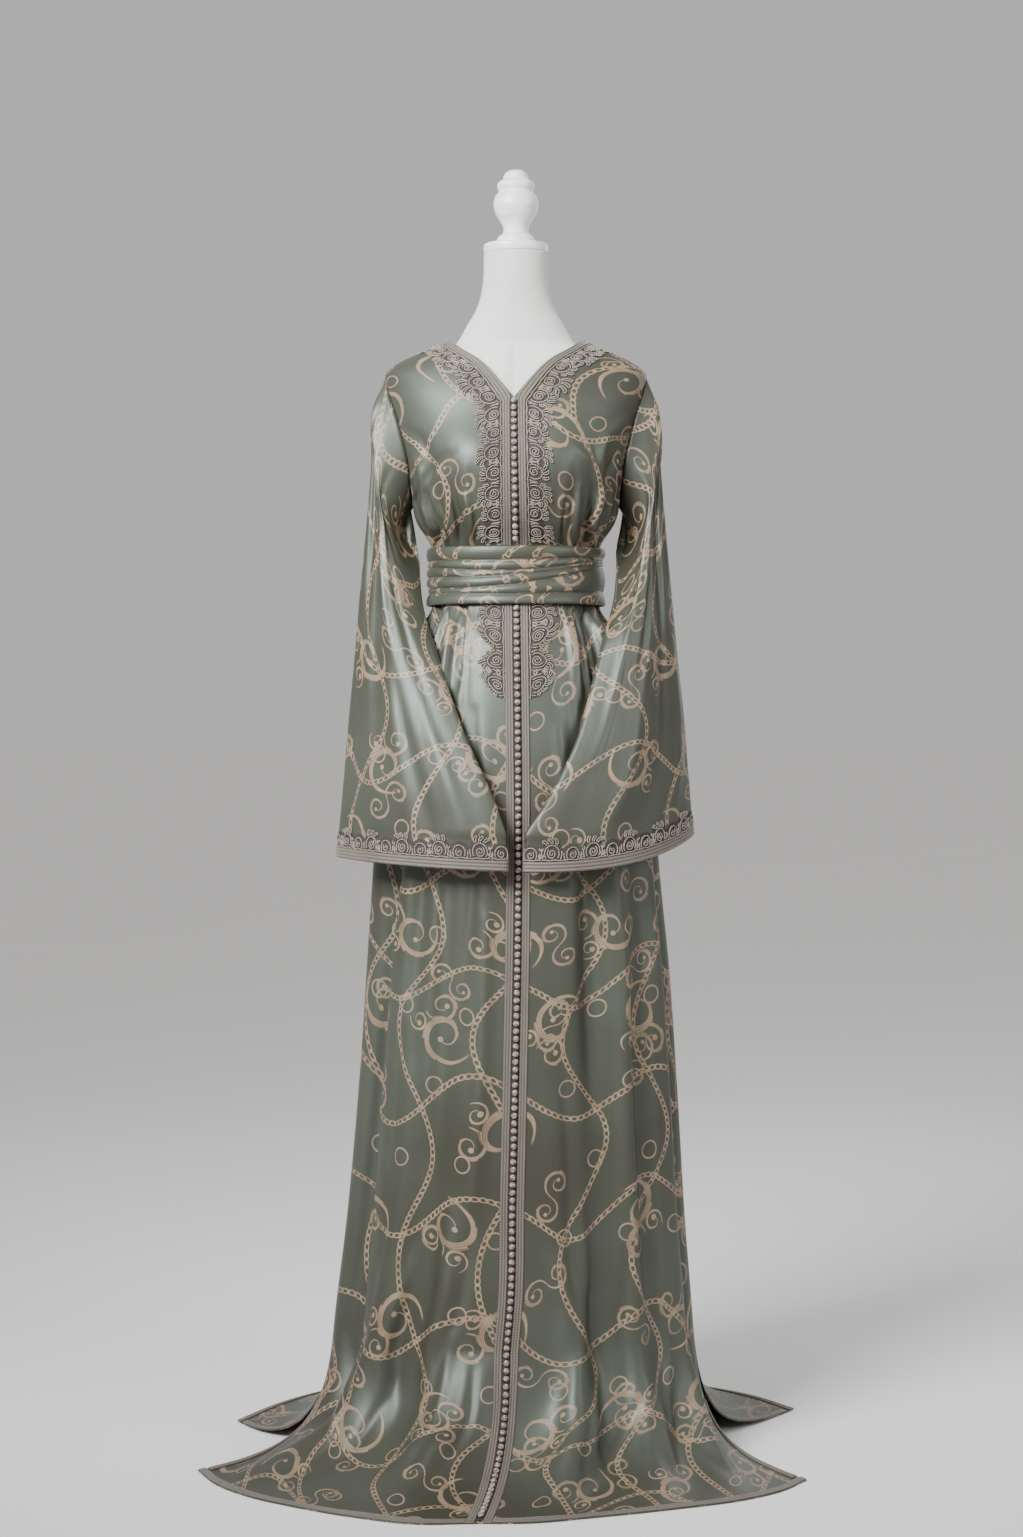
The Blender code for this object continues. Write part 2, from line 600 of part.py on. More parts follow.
def solid(name, points, faces, material):
    corners = points[np.array([face[:3] for face in faces])]
    volume = np.einsum("ij,ij->", corners[:, 0], np.cross(corners[:, 1], corners[:, 2]))
    if volume < 0:
        faces = [tuple(reversed(face)) for face in faces]
    mesh = bpy.data.meshes.new(name)
    mesh.from_pydata([tuple(map(float, p)) for p in points], [], faces)
    mesh.update()
    made = bpy.data.objects.new(name, mesh)
    mesh.materials.append(MATERIALS[material])
    bpy.context.scene.collection.objects.link(made)
    return made


def make_material(name):
    colour, roughness, metallic = COLOURS[name]
    material = bpy.data.materials.new(name)
    material.use_nodes = True
    shader = material.node_tree.nodes["Principled BSDF"]
    shader.inputs["Base Color"].default_value = (*colour, 1.0)
    shader.inputs["Roughness"].default_value = roughness
    shader.inputs["Metallic"].default_value = metallic
    return material


def lathe(name, profile, sides, material):
    """A turned solid with flat ends."""
    turns = np.linspace(0.0, 2 * math.pi, sides, endpoint=False)
    rings = [[(row["radius"] * math.cos(a), row["radius"] * math.sin(a), row["z"]) for a in turns]
             for row in records(profile, PROFILE_COLUMNS)]
    points = np.array(rings).reshape(-1, 3)
    faces = grid_triangles(len(profile), sides, closed=True)
    top = (len(profile) - 1) * sides
    faces += [(0, k, k + 1) for k in range(1, sides - 1)]
    faces += [(top, top + k + 1, top + k) for k in range(1, sides - 1)]
    return solid(name, points, faces, material)


# Pieces

def panel_walls(face, side, rows):
    """Outer points and normals of one side of a panel, and whether its triangles turn over."""
    grid = panel_half(face, side, rows)
    count, columns = grid.shape[:2]
    points = grid.reshape(-1, 3)
    normals = grid_normals(points, grid_triangles(count, columns))
    outward = points * [1.0, 1.0, 0.0] + [0.0, 0.0, UPWARD]
    flipped = np.einsum("ij,ij->", normals, outward) < 0
    normals = (-normals if flipped else normals).reshape(count, columns, 3)
    seam_shift = -0.5 * SEAM_GAP if face == "front" else 0.5 * SEAM_GAP
    for i, row in enumerate(rows):
        at_armhole = row[0] == "height" and ARMPIT < row[2] < SHOULDER_TIP
        at_neck = face == "front" and row[0] == "height" and row[1] > NECK_POINT
        at_seam = 1.0 if row[0] == "height" else float(ramp(*SLIT_OPENS, row[1]))
        if not at_armhole:
            normals[i, -1, 1] *= 1.0 - at_seam
            grid[i, -1, 1] += seam_shift
        if not at_neck:
            normals[i, 0, 0] *= 0.0 if row[0] == "height" or face == "back" else EDGE_TILT
        if face == "front" and not at_neck:
            grid[i, 0, 0] += side_sign(side) * 0.5 * SEAM_GAP
        if face == "front" and i == 0:
            normals[i, :, 1] = 0.0
            grid[i, :-1, 1] += seam_shift
    normals /= np.linalg.norm(normals, axis=2)[..., None]
    return grid, normals, flipped


def moved_in(points, normals, distance):
    inner = points - normals * distance
    inner[..., 2] = np.maximum(inner[..., 2], 0.0)
    return inner


def block(shape, row_range, column_range, flipped, half=False):
    """The panel's own triangles in a block of its cells, or only those nearer its middle."""
    found = []
    for i in range(*row_range):
        for j in range(*column_range):
            found += cell_triangles(i, j, shape[1])[:1 if half else 2]
    return [(a, c, b) for a, b, c in found] if flipped else found


def drawn_in(points, triangles, distance):
    """The points, with those on the block's outline moved a little way into the block."""
    opposite = {}
    for a, b, c in triangles:
        opposite[(a, b)], opposite[(b, c)], opposite[(c, a)] = c, a, b
    moves = np.zeros_like(points)
    for a, b in boundary_edges(triangles):
        along = points[b] - points[a]
        along /= np.linalg.norm(along)
        inward = points[opposite[(a, b)]] - points[a]
        inward -= along * np.dot(inward, along)
        inward /= np.linalg.norm(inward)
        moves[a] += inward
        moves[b] += inward
    size = np.linalg.norm(moves, axis=1)
    size[size < 1e-9] = 1.0
    return points + moves / size[:, None] * distance


def trim(name, points, normals, triangles, thickness, material):
    """A flat trim that lies on a panel: the panel's own points, moved out."""
    points, normals = points.reshape(-1, 3), normals.reshape(-1, 3)
    points = drawn_in(points, triangles, TRIM_GAP)
    shell(name, points + normals * (TRIM_GAP + thickness), points + normals * TRIM_GAP, triangles,
          material)


def make_front(side):
    rows = panel_rows("front", side)
    points, normals, flipped = panel_walls("front", side, rows)
    count, columns = points.shape[:2]
    whole = block(points.shape, (0, count - 1), (0, columns - 1), flipped)
    shell(f"front_{side}", points.reshape(-1, 3), moved_in(points, normals, WALL).reshape(-1, 3),
          whole, "satin")

    def piece(name, triangles, thickness, material):
        trim(f"{name}_{side}", points, normals, triangles, thickness, material)

    def cells(row_range, column_range, half=False):
        return block(points.shape, row_range, column_range, flipped, half)

    neck_point, sash = row_at(rows, NECK_POINT), row_at(rows, SASH_ROW)
    hip, hem = row_at(rows, HIP_ROWS[0]), count - 1
    slit = rows.index(("train", TRAIN_ROWS[1]))
    piece("front_braid", cells((0, neck_point), (0, 2)) + cells((neck_point, hem), (1, 2)),
          BRAID_THICK, "braid")
    piece("bodice_embroidery", cells((0, sash), (2, 3)) + cells((1, sash), (3, 4), True),
          EMBROIDERY_THICK, "embroidery")
    lobes = (hip - 1, hip - 1 + len(HIP_ROWS))
    piece("skirt_embroidery", cells(lobes, (2, 3)) + cells(lobes, (3, 4), True),
          EMBROIDERY_THICK, "embroidery")
    piece("hem_braid_front", cells((hem - 1, hem), (2, columns - 1))
          + cells((slit, hem - 1), (columns - 2, columns - 1)), BRAID_THICK, "braid")
    return points, normals, rows


def make_back():
    rows = panel_rows("back", "left")
    left_points, left_normals, _ = panel_walls("back", "left", rows)
    right_points, right_normals, _ = panel_walls("back", "right", panel_rows("back", "right"))
    middle = 0.5 * (left_points[:, :1] + right_points[:, :1])
    middle_normal = left_normals[:, :1] + right_normals[:, :1]
    middle_normal /= np.linalg.norm(middle_normal, axis=2)[..., None]
    points = np.concatenate([left_points[:, :0:-1], middle, right_points[:, 1:]], axis=1)
    normals = np.concatenate([left_normals[:, :0:-1], middle_normal, right_normals[:, 1:]], axis=1)
    count, columns = points.shape[:2]
    facing = grid_normals(points.reshape(-1, 3), grid_triangles(count, columns))
    flipped = np.einsum("ij,ij->", facing, normals.reshape(-1, 3)) < 0
    whole = block(points.shape, (0, count - 1), (0, columns - 1), flipped)
    shell("back", points.reshape(-1, 3), moved_in(points, normals, WALL).reshape(-1, 3), whole,
          "satin")

    def cells(row_range, column_range):
        return block(points.shape, row_range, column_range, flipped)

    hem, slit = count - 1, rows.index(("train", TRAIN_ROWS[1]))
    trim("neck_braid_back", points, normals, cells((0, 1), (0, columns - 1)), BRAID_THICK, "braid")
    edge = (cells((hem - 1, hem), (0, columns - 1)) + cells((slit, hem - 1), (0, 1))
            + cells((slit, hem - 1), (columns - 2, columns - 1)))
    trim("hem_braid_back", points, normals, edge, BRAID_THICK, "braid")
    return points, normals, rows


def make_buttons(name, left_points, left_normals, right_points, right_normals):
    """A row of knot buttons on a narrow strip that lies across the two front edges."""
    middle = 0.5 * (left_points[:, 0] + right_points[:, 0])
    middle_up = left_normals[:, 0] + right_normals[:, 0]
    rail_in = TRIM_GAP / EDGE_SPREAD[0][EDGE_COLUMNS.index("buttons")]
    feet, ups = [], []
    for points, normals in ((right_points, right_normals), (None, None), (left_points, left_normals)):
        foot = middle if points is None else points[:, 1] + (middle - points[:, 1]) * rail_in
        up = middle_up if points is None else normals[:, 1]
        up = up / np.linalg.norm(up, axis=1)[:, None]
        feet.append(foot + up * STRIP_GAP)
        ups.append(up)
    points, faces = [], []

    def add(*new):
        points.extend(new)
        return len(points) - len(new)

    def rail(i, share):
        """The strip's two upper edge points, part of the way from row i to the next."""
        after = min(i + 1, len(middle) - 1)
        found = []
        for c in (0, 2):
            foot = feet[c][i] * (1 - share) + feet[c][after] * share
            up = ups[c][i] * (1 - share) + ups[c][after] * share
            found.append(foot + up * BRAID_THICK)
        return found

    start, low = add(*rail(0, 0.0)), add(*[foot[0] for foot in feet])
    faces += [(start, low, low + 1), (start, low + 1, start + 1), (start + 1, low + 1, low + 2)]
    for i in range(len(middle) - 1):
        count = max(1, round(float(np.linalg.norm(feet[1][i + 1] - feet[1][i])) / BUTTON_PITCH))
        next_low = add(*[foot[i + 1] for foot in feet])
        rails = [start]
        for k in range(count):
            new = add(*rail(i, (k + 1) / count))
            ring = [rails[-1], rails[-1] + 1, new + 1, new]
            corners = [points[m] for m in ring]
            centre = sum(corners) / 4
            top = add(*[centre + (c - centre) * BUTTON_TOP_SHARE + ups[1][i] * BUTTON_HEIGHT
                        for c in corners])
            for m in range(4):
                a, b = ring[m], ring[(m + 1) % 4]
                c, d = top + (m + 1) % 4, top + m
                faces += [(a, b, c), (a, c, d)]
            faces += [(top, top + 1, top + 2), (top, top + 2, top + 3)]
            rails.append(new)
        for before, after in zip(rails, rails[1:]):
            faces += [(before, after, low), (after + 1, before + 1, low + 2)]
        end = rails[-1]
        faces += [(end, next_low, low), (end + 1, low + 2, next_low + 2)]
        faces += [(low, next_low, next_low + 1), (low, next_low + 1, low + 1),
                  (low + 1, next_low + 1, next_low + 2), (low + 1, next_low + 2, low + 2)]
        start, low = end, next_low
    faces += [(start, low + 1, low), (start, start + 1, low + 1), (start + 1, low + 2, low + 1)]
    solid(name, np.array(points), faces, "buttons")


def around(turn):
    """The panel, its side and the angle from its middle at a turn round the body, from the front."""
    face = "front" if turn <= 90 or turn >= 270 else "back"
    side = "left" if turn < 180 else "right"
    angle = min(turn, 360 - turn)
    return face, side, angle if face == "front" else 180 - angle


def drape_out(turn, z):
    """How far the sash's folds stand out at a turn round the body."""
    across = math.sin(math.radians(turn))
    out = 0.0
    for fold in records(DRAPES, DRAPE_COLUMNS):
        bend = 0.5 * (fold["left"] - fold["right"]) * across
        curve = (0.5 * (fold["left"] + fold["right"]) - fold["middle"]) * across**2
        height = fold["middle"] + bend + curve
        out = max(out, fold["out"] * float(bump(z - height, DRAPE_WIDTH)))
    return out


def make_belt():
    outer, inner = [], []
    for z in BELT_ROWS:
        read_z = float(np.clip(z, *BELT_READ))
        for turn in np.linspace(0.0, 360.0, BELT_SIDES, endpoint=False):
            clear = BELT_CLEAR
            thick = BELT_WALL + drape_out(turn, z)
            inner.append([*skin(*around(turn), read_z, False, -clear)[:2], z])
            outer.append([*skin(*around(turn), read_z, False, -clear - thick)[:2], z])
    count = len(BELT_ROWS)
    points = np.array(outer + inner[:BELT_SIDES] + inner[-BELT_SIDES:])
    faces = grid_triangles(count, BELT_SIDES, closed=True)
    top, bottom = count * BELT_SIDES, (count + 1) * BELT_SIDES
    low = (count - 1) * BELT_SIDES
    for j in range(BELT_SIDES):
        k = (j + 1) % BELT_SIDES
        faces += [(top + j, top + k, bottom + k), (top + j, bottom + k, bottom + j)]
        faces += [(j, k, top + k), (j, top + k, top + j)]
        faces += [(low + k, low + j, bottom + j), (low + k, bottom + j, bottom + k)]
    solid("belt", points, faces, "satin")


def armhole_ring(front, front_rows, back, back_rows):
    """The armhole's edge: shoulder tip, down the front, armpit, up the back."""
    def at(grid, rows, z):
        return grid[next(i for i, row in enumerate(rows) if row[0] == "height" and row[2] == z)]

    shoulder = 0.5 * (at(front, front_rows, SHOULDER_TIP) + at(back, back_rows, SHOULDER_TIP))
    armpit = 0.5 * (at(front, front_rows, ARMPIT) + at(back, back_rows, ARMPIT))
    down = [at(front, front_rows, z) for z in ARMHOLE_ROWS]
    up = [at(back, back_rows, z) for z in reversed(ARMHOLE_ROWS)]
    return np.array([shoulder, *down, armpit, *up])


def sleeve_section(side, row):
    """One hanging cross-section of a sleeve, as a closed loop from its outer edge."""
    turn = 2 * math.pi * np.arange(SLEEVE_RING) / SLEEVE_RING
    share = 0.5 - 0.5 * np.cos(turn)
    outer, inner = [np.array([row[f"{edge}_{axis}"] for axis in "xyz"])
                    for edge in ("outer", "inner")]
    chord = (inner - outer) * [1.0, 1.0, 0.0]
    out = np.array([-chord[1], chord[0], 0.0]) / np.linalg.norm(chord)
    points = outer + (inner - outer) * share[:, None]
    arch = 4 * share * (1 - share)
    layer = 0.5 * row["apart"] * np.sign(np.sin(turn)) * np.abs(np.sin(turn)) ** LAYER_FLATNESS
    ripple = row["fold"] * np.cos(SLEEVE_FOLDS * math.pi * share) * (np.sin(turn) > 0.1)
    points = points + out * (row["bow"] * arch + layer + ripple)[:, None]
    points[:, 2] -= CUFF_SAG[side] * arch * ramp(*SAG_HEIGHTS, row["outer_z"])
    points[:, 0] *= side_sign(side)
    return points


def through(stations, shares):
    """Loops on smooth curves through the stations, at shares of the way."""
    at = np.linspace(0.0, 1.0, len(stations))
    flat = stations.reshape(len(stations), -1)
    read = [[smooth(at, flat[:, k], share) for k in range(flat.shape[1])] for share in shares]
    return np.array(read).reshape(len(shares), -1, 3)


def make_sleeve(side, ring, ring_normals):
    start = ring + [side_sign(side) * SEAM_GAP, 0.0, 0.0]
    sections = [sleeve_section(side, row) for row in records(SLEEVES[side], SLEEVE_COLUMNS)]
    stations = np.array([start, *sections])
    last = len(stations) - 1
    shares = np.concatenate([np.linspace(0.0, last - CUFF_ROWS, SLEEVE_ROWS + 1),
                             np.arange(last - CUFF_ROWS + 1, last + 1)]) / last
    loops = through(stations, shares)
    rows, points = len(shares), loops.reshape(-1, 3)
    triangles = grid_triangles(rows, SLEEVE_RING, closed=True)
    normals = grid_normals(points, triangles)
    away = (loops - loops.mean(axis=1)[:, None]).reshape(-1, 3)
    flipped = np.einsum("ij,ij->", normals, away) < 0
    normals = -normals if flipped else normals
    normals[:SLEEVE_RING] = ring_normals / np.linalg.norm(ring_normals, axis=1)[:, None]
    if flipped:
        triangles = [(a, c, b) for a, b, c in triangles]
    shell(f"sleeve_{side}", points, points - normals * WALL, triangles, "satin")
    ring_cells = 2 * SLEEVE_RING
    trim(f"cuff_braid_{side}", points, normals, triangles[-ring_cells:], BRAID_THICK, "braid")
    teeth = []
    tooth_row = rows - 2 - (CUFF_ROWS - 1)
    for j in range(SLEEVE_RING):
        halves = cell_triangles(tooth_row, j, SLEEVE_RING, True)
        base = tooth_row * SLEEVE_RING + SLEEVE_RING
        teeth += [half for half in halves if sum(k >= base for k in half) == 2]
    if flipped:
        teeth = [(a, c, b) for a, b, c in teeth]
    band = triangles[-2 * ring_cells:-ring_cells]
    trim(f"cuff_embroidery_{side}", points, normals, teeth + band, EMBROIDERY_THICK, "embroidery")


def make_form():
    turns = np.linspace(0.0, 360.0, FORM_SIDES, endpoint=False)
    inset_z = column(FORM_INSETS, FORM_COLUMNS, "z")
    insets = column(FORM_INSETS, FORM_COLUMNS, "inset")
    rings = [[skin(*around(turn), z, False, float(smooth(inset_z, insets, z))) for turn in turns]
             for z in FORM_ROWS]
    for row in records(NECK, NECK_COLUMNS):
        reach = np.where(np.cos(np.radians(turns)) > 0, row["front"], row["back"])
        rings.append(np.stack([row["half_width"] * np.sin(np.radians(turns)),
                               -reach * np.cos(np.radians(turns)),
                               np.full(FORM_SIDES, row["z"])], axis=1))
    faces = grid_triangles(len(rings), FORM_SIDES, closed=True)
    top = (len(rings) - 1) * FORM_SIDES
    faces += [(0, k, k + 1) for k in range(1, FORM_SIDES - 1)]
    faces += [(top, top + k + 1, top + k) for k in range(1, FORM_SIDES - 1)]
    solid("form_torso", np.array(rings).reshape(-1, 3), faces, "form_skin")


def make_stand():
    lathe("form_cap", CAP, TURNED_SIDES, "painted_wood")
    lathe("form_finial", FINIAL, TURNED_SIDES, "painted_wood")
    foot, head = BASE_THICK + TRIM_GAP, FORM_ROWS[0] - TRIM_GAP
    top_collar = head - TOP_COLLAR_HEIGHT
    lathe("stand_pole",
          [(foot, COLLAR_RADIUS), (foot + COLLAR_STRAIGHT, COLLAR_RADIUS),
           (foot + COLLAR_STRAIGHT + COLLAR_TAPER, POLE_RADIUS), (top_collar, POLE_RADIUS),
           (top_collar + COLLAR_TAPER, COLLAR_RADIUS), (head, COLLAR_RADIUS)],
          TURNED_SIDES, "painted_wood")
    lathe("stand_base",
          [(0.0, BASE_RADIUS - BASE_BEVEL / 3), (BASE_BEVEL / 3, BASE_RADIUS),
           (BASE_THICK - BASE_BEVEL, BASE_RADIUS), (BASE_THICK, BASE_RADIUS - BASE_BEVEL)],
          2 * TURNED_SIDES, "painted_wood")


def clear_scene():
    for found in list(bpy.data.objects):
        bpy.data.objects.remove(found, do_unlink=True)


def main():
    left_points, left_normals, rows = make_front("left")
    right_points, right_normals, _ = make_front("right")
    back_points, back_normals, back_rows = make_back()
    edges = (left_points[:, :2], left_normals[:, :2], right_points[:, :2], right_normals[:, :2])
    make_buttons("buttons_bodice", *[e[row_at(rows, NECK_POINT):row_at(rows, SASH_ROW) + 1]
                                     for e in edges])
    make_buttons("buttons_skirt", *[e[row_at(rows, WAIST_ROWS[-1]):] for e in edges])
    make_belt()
    for side, points, normals, at in (("left", left_points, left_normals, 0),
                                      ("right", right_points, right_normals, -1)):
        ring = armhole_ring(points[:, -1], rows, back_points[:, at], back_rows)
        ring_normals = armhole_ring(normals[:, -1], rows, back_normals[:, at], back_rows)
        make_sleeve(side, ring, ring_normals)
    make_form()
    make_stand()


clear_scene()
MATERIALS = {name: make_material(name) for name in COLOURS}
main()
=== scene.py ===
import math

import bpy
import numpy as np
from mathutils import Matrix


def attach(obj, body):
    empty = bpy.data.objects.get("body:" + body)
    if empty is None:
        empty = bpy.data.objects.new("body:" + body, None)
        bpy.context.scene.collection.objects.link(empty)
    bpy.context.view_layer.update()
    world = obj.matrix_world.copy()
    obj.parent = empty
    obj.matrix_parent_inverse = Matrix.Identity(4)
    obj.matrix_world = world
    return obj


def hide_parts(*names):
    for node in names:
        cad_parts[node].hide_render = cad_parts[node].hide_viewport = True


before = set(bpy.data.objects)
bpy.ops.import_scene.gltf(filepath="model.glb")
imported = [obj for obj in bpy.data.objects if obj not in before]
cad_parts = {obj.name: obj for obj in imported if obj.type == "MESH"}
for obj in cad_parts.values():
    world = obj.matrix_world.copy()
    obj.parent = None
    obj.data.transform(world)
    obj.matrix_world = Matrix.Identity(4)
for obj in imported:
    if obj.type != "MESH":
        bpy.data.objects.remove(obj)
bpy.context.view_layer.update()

# Camera first: it stands at the height of the hip, 3.7 m in front, and looks slightly down
view = {"place": (-0.0059, -3.7273, 0.9823), "lookDown": 1.294, "lens": 65.506}


def makeCamera():
    data = bpy.data.cameras.new("camera")
    data.lens = view["lens"]
    data.sensor_width = 36.0
    camera = bpy.data.objects.new("camera", data)
    camera.location = view["place"]
    camera.rotation_euler = (math.pi / 2 - math.radians(view["lookDown"]), 0.0, 0.0)
    bpy.context.scene.collection.objects.link(camera)
    bpy.context.scene.camera = camera


# Studio: a pale floor and soft lights. The world is as bright as the far floor under the sun,
# so the floor has no horizon
studio = {
    "floor": (0.88, 0.87, 0.86), "world": (0.60, 0.59, 0.585), "worldStrength": 0.90,
    "sun": 0.28, "sunTilt": (0.15, -0.10), "sunSoftness": 0.6, "reach": 60.0,
    "lights": [  # name, place, aim, size, power, spread in degrees, colour
        ("keyLight", (-1.5, -2.1, 2.6), (0.0, 0.0, 1.32), 1.3, 46.0, 75.0, (0.94, 0.99, 1.0)),
        ("fillLight", (2.2, -2.0, 2.0), (0.0, 0.0, 1.15), 1.2, 6.0, 80.0, (0.95, 0.98, 1.0)),
        ("backLight", (1.8, 2.8, 2.2), (0.0, 0.0, 1.0), 2.0, 9.0, 120.0, (1.0, 1.0, 1.0)),
    ],
}


def makeStudio():
    world = bpy.data.worlds.new("studioWorld")
    world.use_nodes = True
    background = world.node_tree.nodes["Background"]
    background.inputs["Color"].default_value = (*studio["world"], 1.0)
    background.inputs["Strength"].default_value = studio["worldStrength"]
    bpy.context.scene.world = world
    for name, place, aim, size, power, spread, colour in studio["lights"]:
        data = bpy.data.lights.new(name, "AREA")
        data.shape, data.size, data.energy, data.color = "SQUARE", size, power, colour
        data.spread = math.radians(spread)
        light = bpy.data.objects.new(name, data)
        light.location = place
        direction = np.array(aim) - np.array(place)
        flat = math.hypot(direction[0], direction[1])
        light.rotation_euler = (math.atan2(flat, -direction[2]), 0.0,
                                math.atan2(direction[1], direction[0]) - math.pi / 2)
        bpy.context.scene.collection.objects.link(light)
    sunData = bpy.data.lights.new("sun", "SUN")
    sunData.energy, sunData.angle = studio["sun"], studio["sunSoftness"]
    sun = bpy.data.objects.new("sun", sunData)
    sun.rotation_euler = (studio["sunTilt"][0], studio["sunTilt"][1], 0.0)
    bpy.context.scene.collection.objects.link(sun)
    reach = studio["reach"]
    corners = [(-reach, -reach, 0), (reach, -reach, 0), (reach, reach, 0), (-reach, reach, 0)]
    mesh = bpy.data.meshes.new("floor")
    mesh.from_pydata(corners, [], [(0, 1, 2, 3)])
    floor = bpy.data.objects.new("floor", mesh)
    bpy.context.scene.collection.objects.link(floor)
    return floor


# Shader maths: a socket with Python's operators, and one maker for every other node

class Num:
    def __init__(self, tree, socket):
        self.tree, self.socket = tree, socket

    def math(self, operation, *values):
        node = self.tree.nodes.new("ShaderNodeMath")
        node.operation = operation
        for k, value in enumerate(values):
            if isinstance(value, Num):
                self.tree.links.new(value.socket, node.inputs[k])
            else:
                node.inputs[k].default_value = float(value)
        return Num(self.tree, node.outputs[0])

    def __add__(self, other): return self.math("ADD", self, other)
    def __radd__(self, other): return self.math("ADD", other, self)
    def __sub__(self, other): return self.math("SUBTRACT", self, other)
    def __rsub__(self, other): return self.math("SUBTRACT", other, self)
    def __mul__(self, other): return self.math("MULTIPLY", self, other)
    def __rmul__(self, other): return self.math("MULTIPLY", other, self)
    def __truediv__(self, other): return self.math("DIVIDE", self, other)
    def __rtruediv__(self, other): return self.math("DIVIDE", other, self)
    def __abs__(self): return self.math("ABSOLUTE", self)

    def sine(self): return self.math("SINE", self)
    def cosine(self): return self.math("COSINE", self)
    def floor(self): return self.math("FLOOR", self)
    def share(self): return self.math("FRACT", self)
    def root(self): return self.math("SQRT", self)
    def log(self): return self.math("LOGARITHM", self, math.e)
    def turn(self, other): return self.math("ARCTAN2", self, other)
    def atLeast(self, other): return self.math("MAXIMUM", self, other)
    def around(self, span): return self.math("WRAP", self, span / 2, -span / 2)
    def length(self, other): return (self * self + other * other).root()

    def step(self, low, high):  # 0 at low and 1 at high, soft between; low may be the larger
        node = self.tree.nodes.new("ShaderNodeMapRange")
        node.interpolation_type = "SMOOTHSTEP"
        self.tree.links.new(self.socket, node.inputs["Value"])
        node.inputs["From Min"].default_value = low
        node.inputs["From Max"].default_value = high
        return Num(self.tree, node.outputs["Result"])


class Finish:  # one material: its tree, its shader, and the maker of its nodes
    def __init__(self, name, **constants):
        self.material = bpy.data.materials.new(name)
        self.material.use_nodes = True
        self.tree = self.material.node_tree
        self.shader = self.tree.nodes["Principled BSDF"]
        for socket, value in constants.items():
            self.shader.inputs[socket.replace("_", " ")].default_value = value

    def put(self, value, socket):
        if isinstance(value, Num):
            value = value.socket
        if isinstance(value, bpy.types.NodeSocket):
            self.tree.links.new(value, socket)
        else:
            socket.default_value = value

    def node(self, kind, settings=None, sockets=None):
        made = self.tree.nodes.new(kind)
        for name, value in (settings or {}).items():
            setattr(made, name, value)
        for name, value in (sockets or {}).items():
            self.put(value, made.inputs[name])
        return made

    def num(self, socket):
        return Num(self.tree, socket)

    def mix(self, share, first, second):
        made = self.node("ShaderNodeMix", {"data_type": "RGBA"}, {0: share})
        for value, socket in ((first, made.inputs[6]), (second, made.inputs[7])):
            self.put((*value, 1.0) if isinstance(value, tuple) else value, socket)
        return made.outputs[2]

    def noise(self, place, scale, detail=2.0, rough=0.5):
        made = self.node("ShaderNodeTexNoise", {}, {"Vector": place, "Scale": scale,
                                                    "Detail": detail, "Roughness": rough})
        return self.num(made.outputs["Fac"])

    def bump(self, height, distance, strength=1.0, under=None):
        made = self.node("ShaderNodeBump", {}, {"Height": height, "Distance": distance,
                                                "Strength": strength})
        if under is not None:
            self.tree.links.new(under, made.inputs["Normal"])
        return made.outputs["Normal"]

    def uv(self, name):
        made = self.node("ShaderNodeUVMap", {"uv_map": name})
        split = self.node("ShaderNodeSeparateXYZ", {}, {"Vector": made.outputs["UV"]})
        return made.outputs["UV"], self.num(split.outputs["X"]), self.num(split.outputs["Y"])

    def place(self):
        return self.node("ShaderNodeTexCoord").outputs["Object"]

    def wear(self, **sockets):
        for name, value in sockets.items():
            self.put(value, self.shader.inputs[name.replace("_", " ")])
        return self.material


# The print: chains, rings and scrolls in an arrangement of this script's own, in metres of cloth
pattern = {
    "soft": 0.0005, "drift": 0.040, "driftScale": 6.0,
    # chains that run along the cloth, then across it: spacing, wave length, sway, phase
    "chains": [(0.112, 0.290, 0.030, 0.10), (0.150, 0.250, 0.034, 0.35)],
    "linkPitch": 0.0094, "linkLong": 0.0053, "linkHigh": 0.0029, "linkStroke": 0.00052,
    # leafy scrolls and double scrolls: cell width and height, unit size, share left out, seed
    "plumes": (0.138, 0.128, 0.0430, 0.12, 3.0), "curls": (0.112, 0.132, 0.0300, 0.22, 11.0),
    "rings": (0.0900, 0.0980, 0.0108, 0.30, 23.0), "ringStroke": 0.0008,
}


def chainMask(u, v, row):
    # oval links along a line that sways across u as it runs along v
    spacing, wave, sway, phase = row
    k = 2 * math.pi / wave
    fine = np.linspace(0.0, 1.0, 256, endpoint=False)
    rate = np.sqrt(1 + (sway * k * np.cos(2 * math.pi * fine)) ** 2)
    extra = 2 * float(np.mean(rate * np.cos(4 * math.pi * fine))) / (2 * k)
    turn = v * k + 2 * math.pi * phase
    off = (u - turn.sine() * sway).around(spacing)
    slope = turn.cosine() * (sway * k)
    off = off / (slope * slope + 1.0).root()
    total = wave * float(rate.mean())
    length = v * float(rate.mean()) + (turn * 2.0).sine() * extra
    along = (length * (round(total / pattern["linkPitch"]) / total)).share()
    mask = None
    for shift in (0.0, 1.0):
        place = (along - shift) * (pattern["linkPitch"] / pattern["linkLong"])
        oval = abs(place.length(off / pattern["linkHigh"]) - 1.0) * pattern["linkHigh"]
        line = oval.step(pattern["linkStroke"] + pattern["soft"], pattern["linkStroke"])
        mask = line if mask is None else mask.atLeast(line)
    return mask


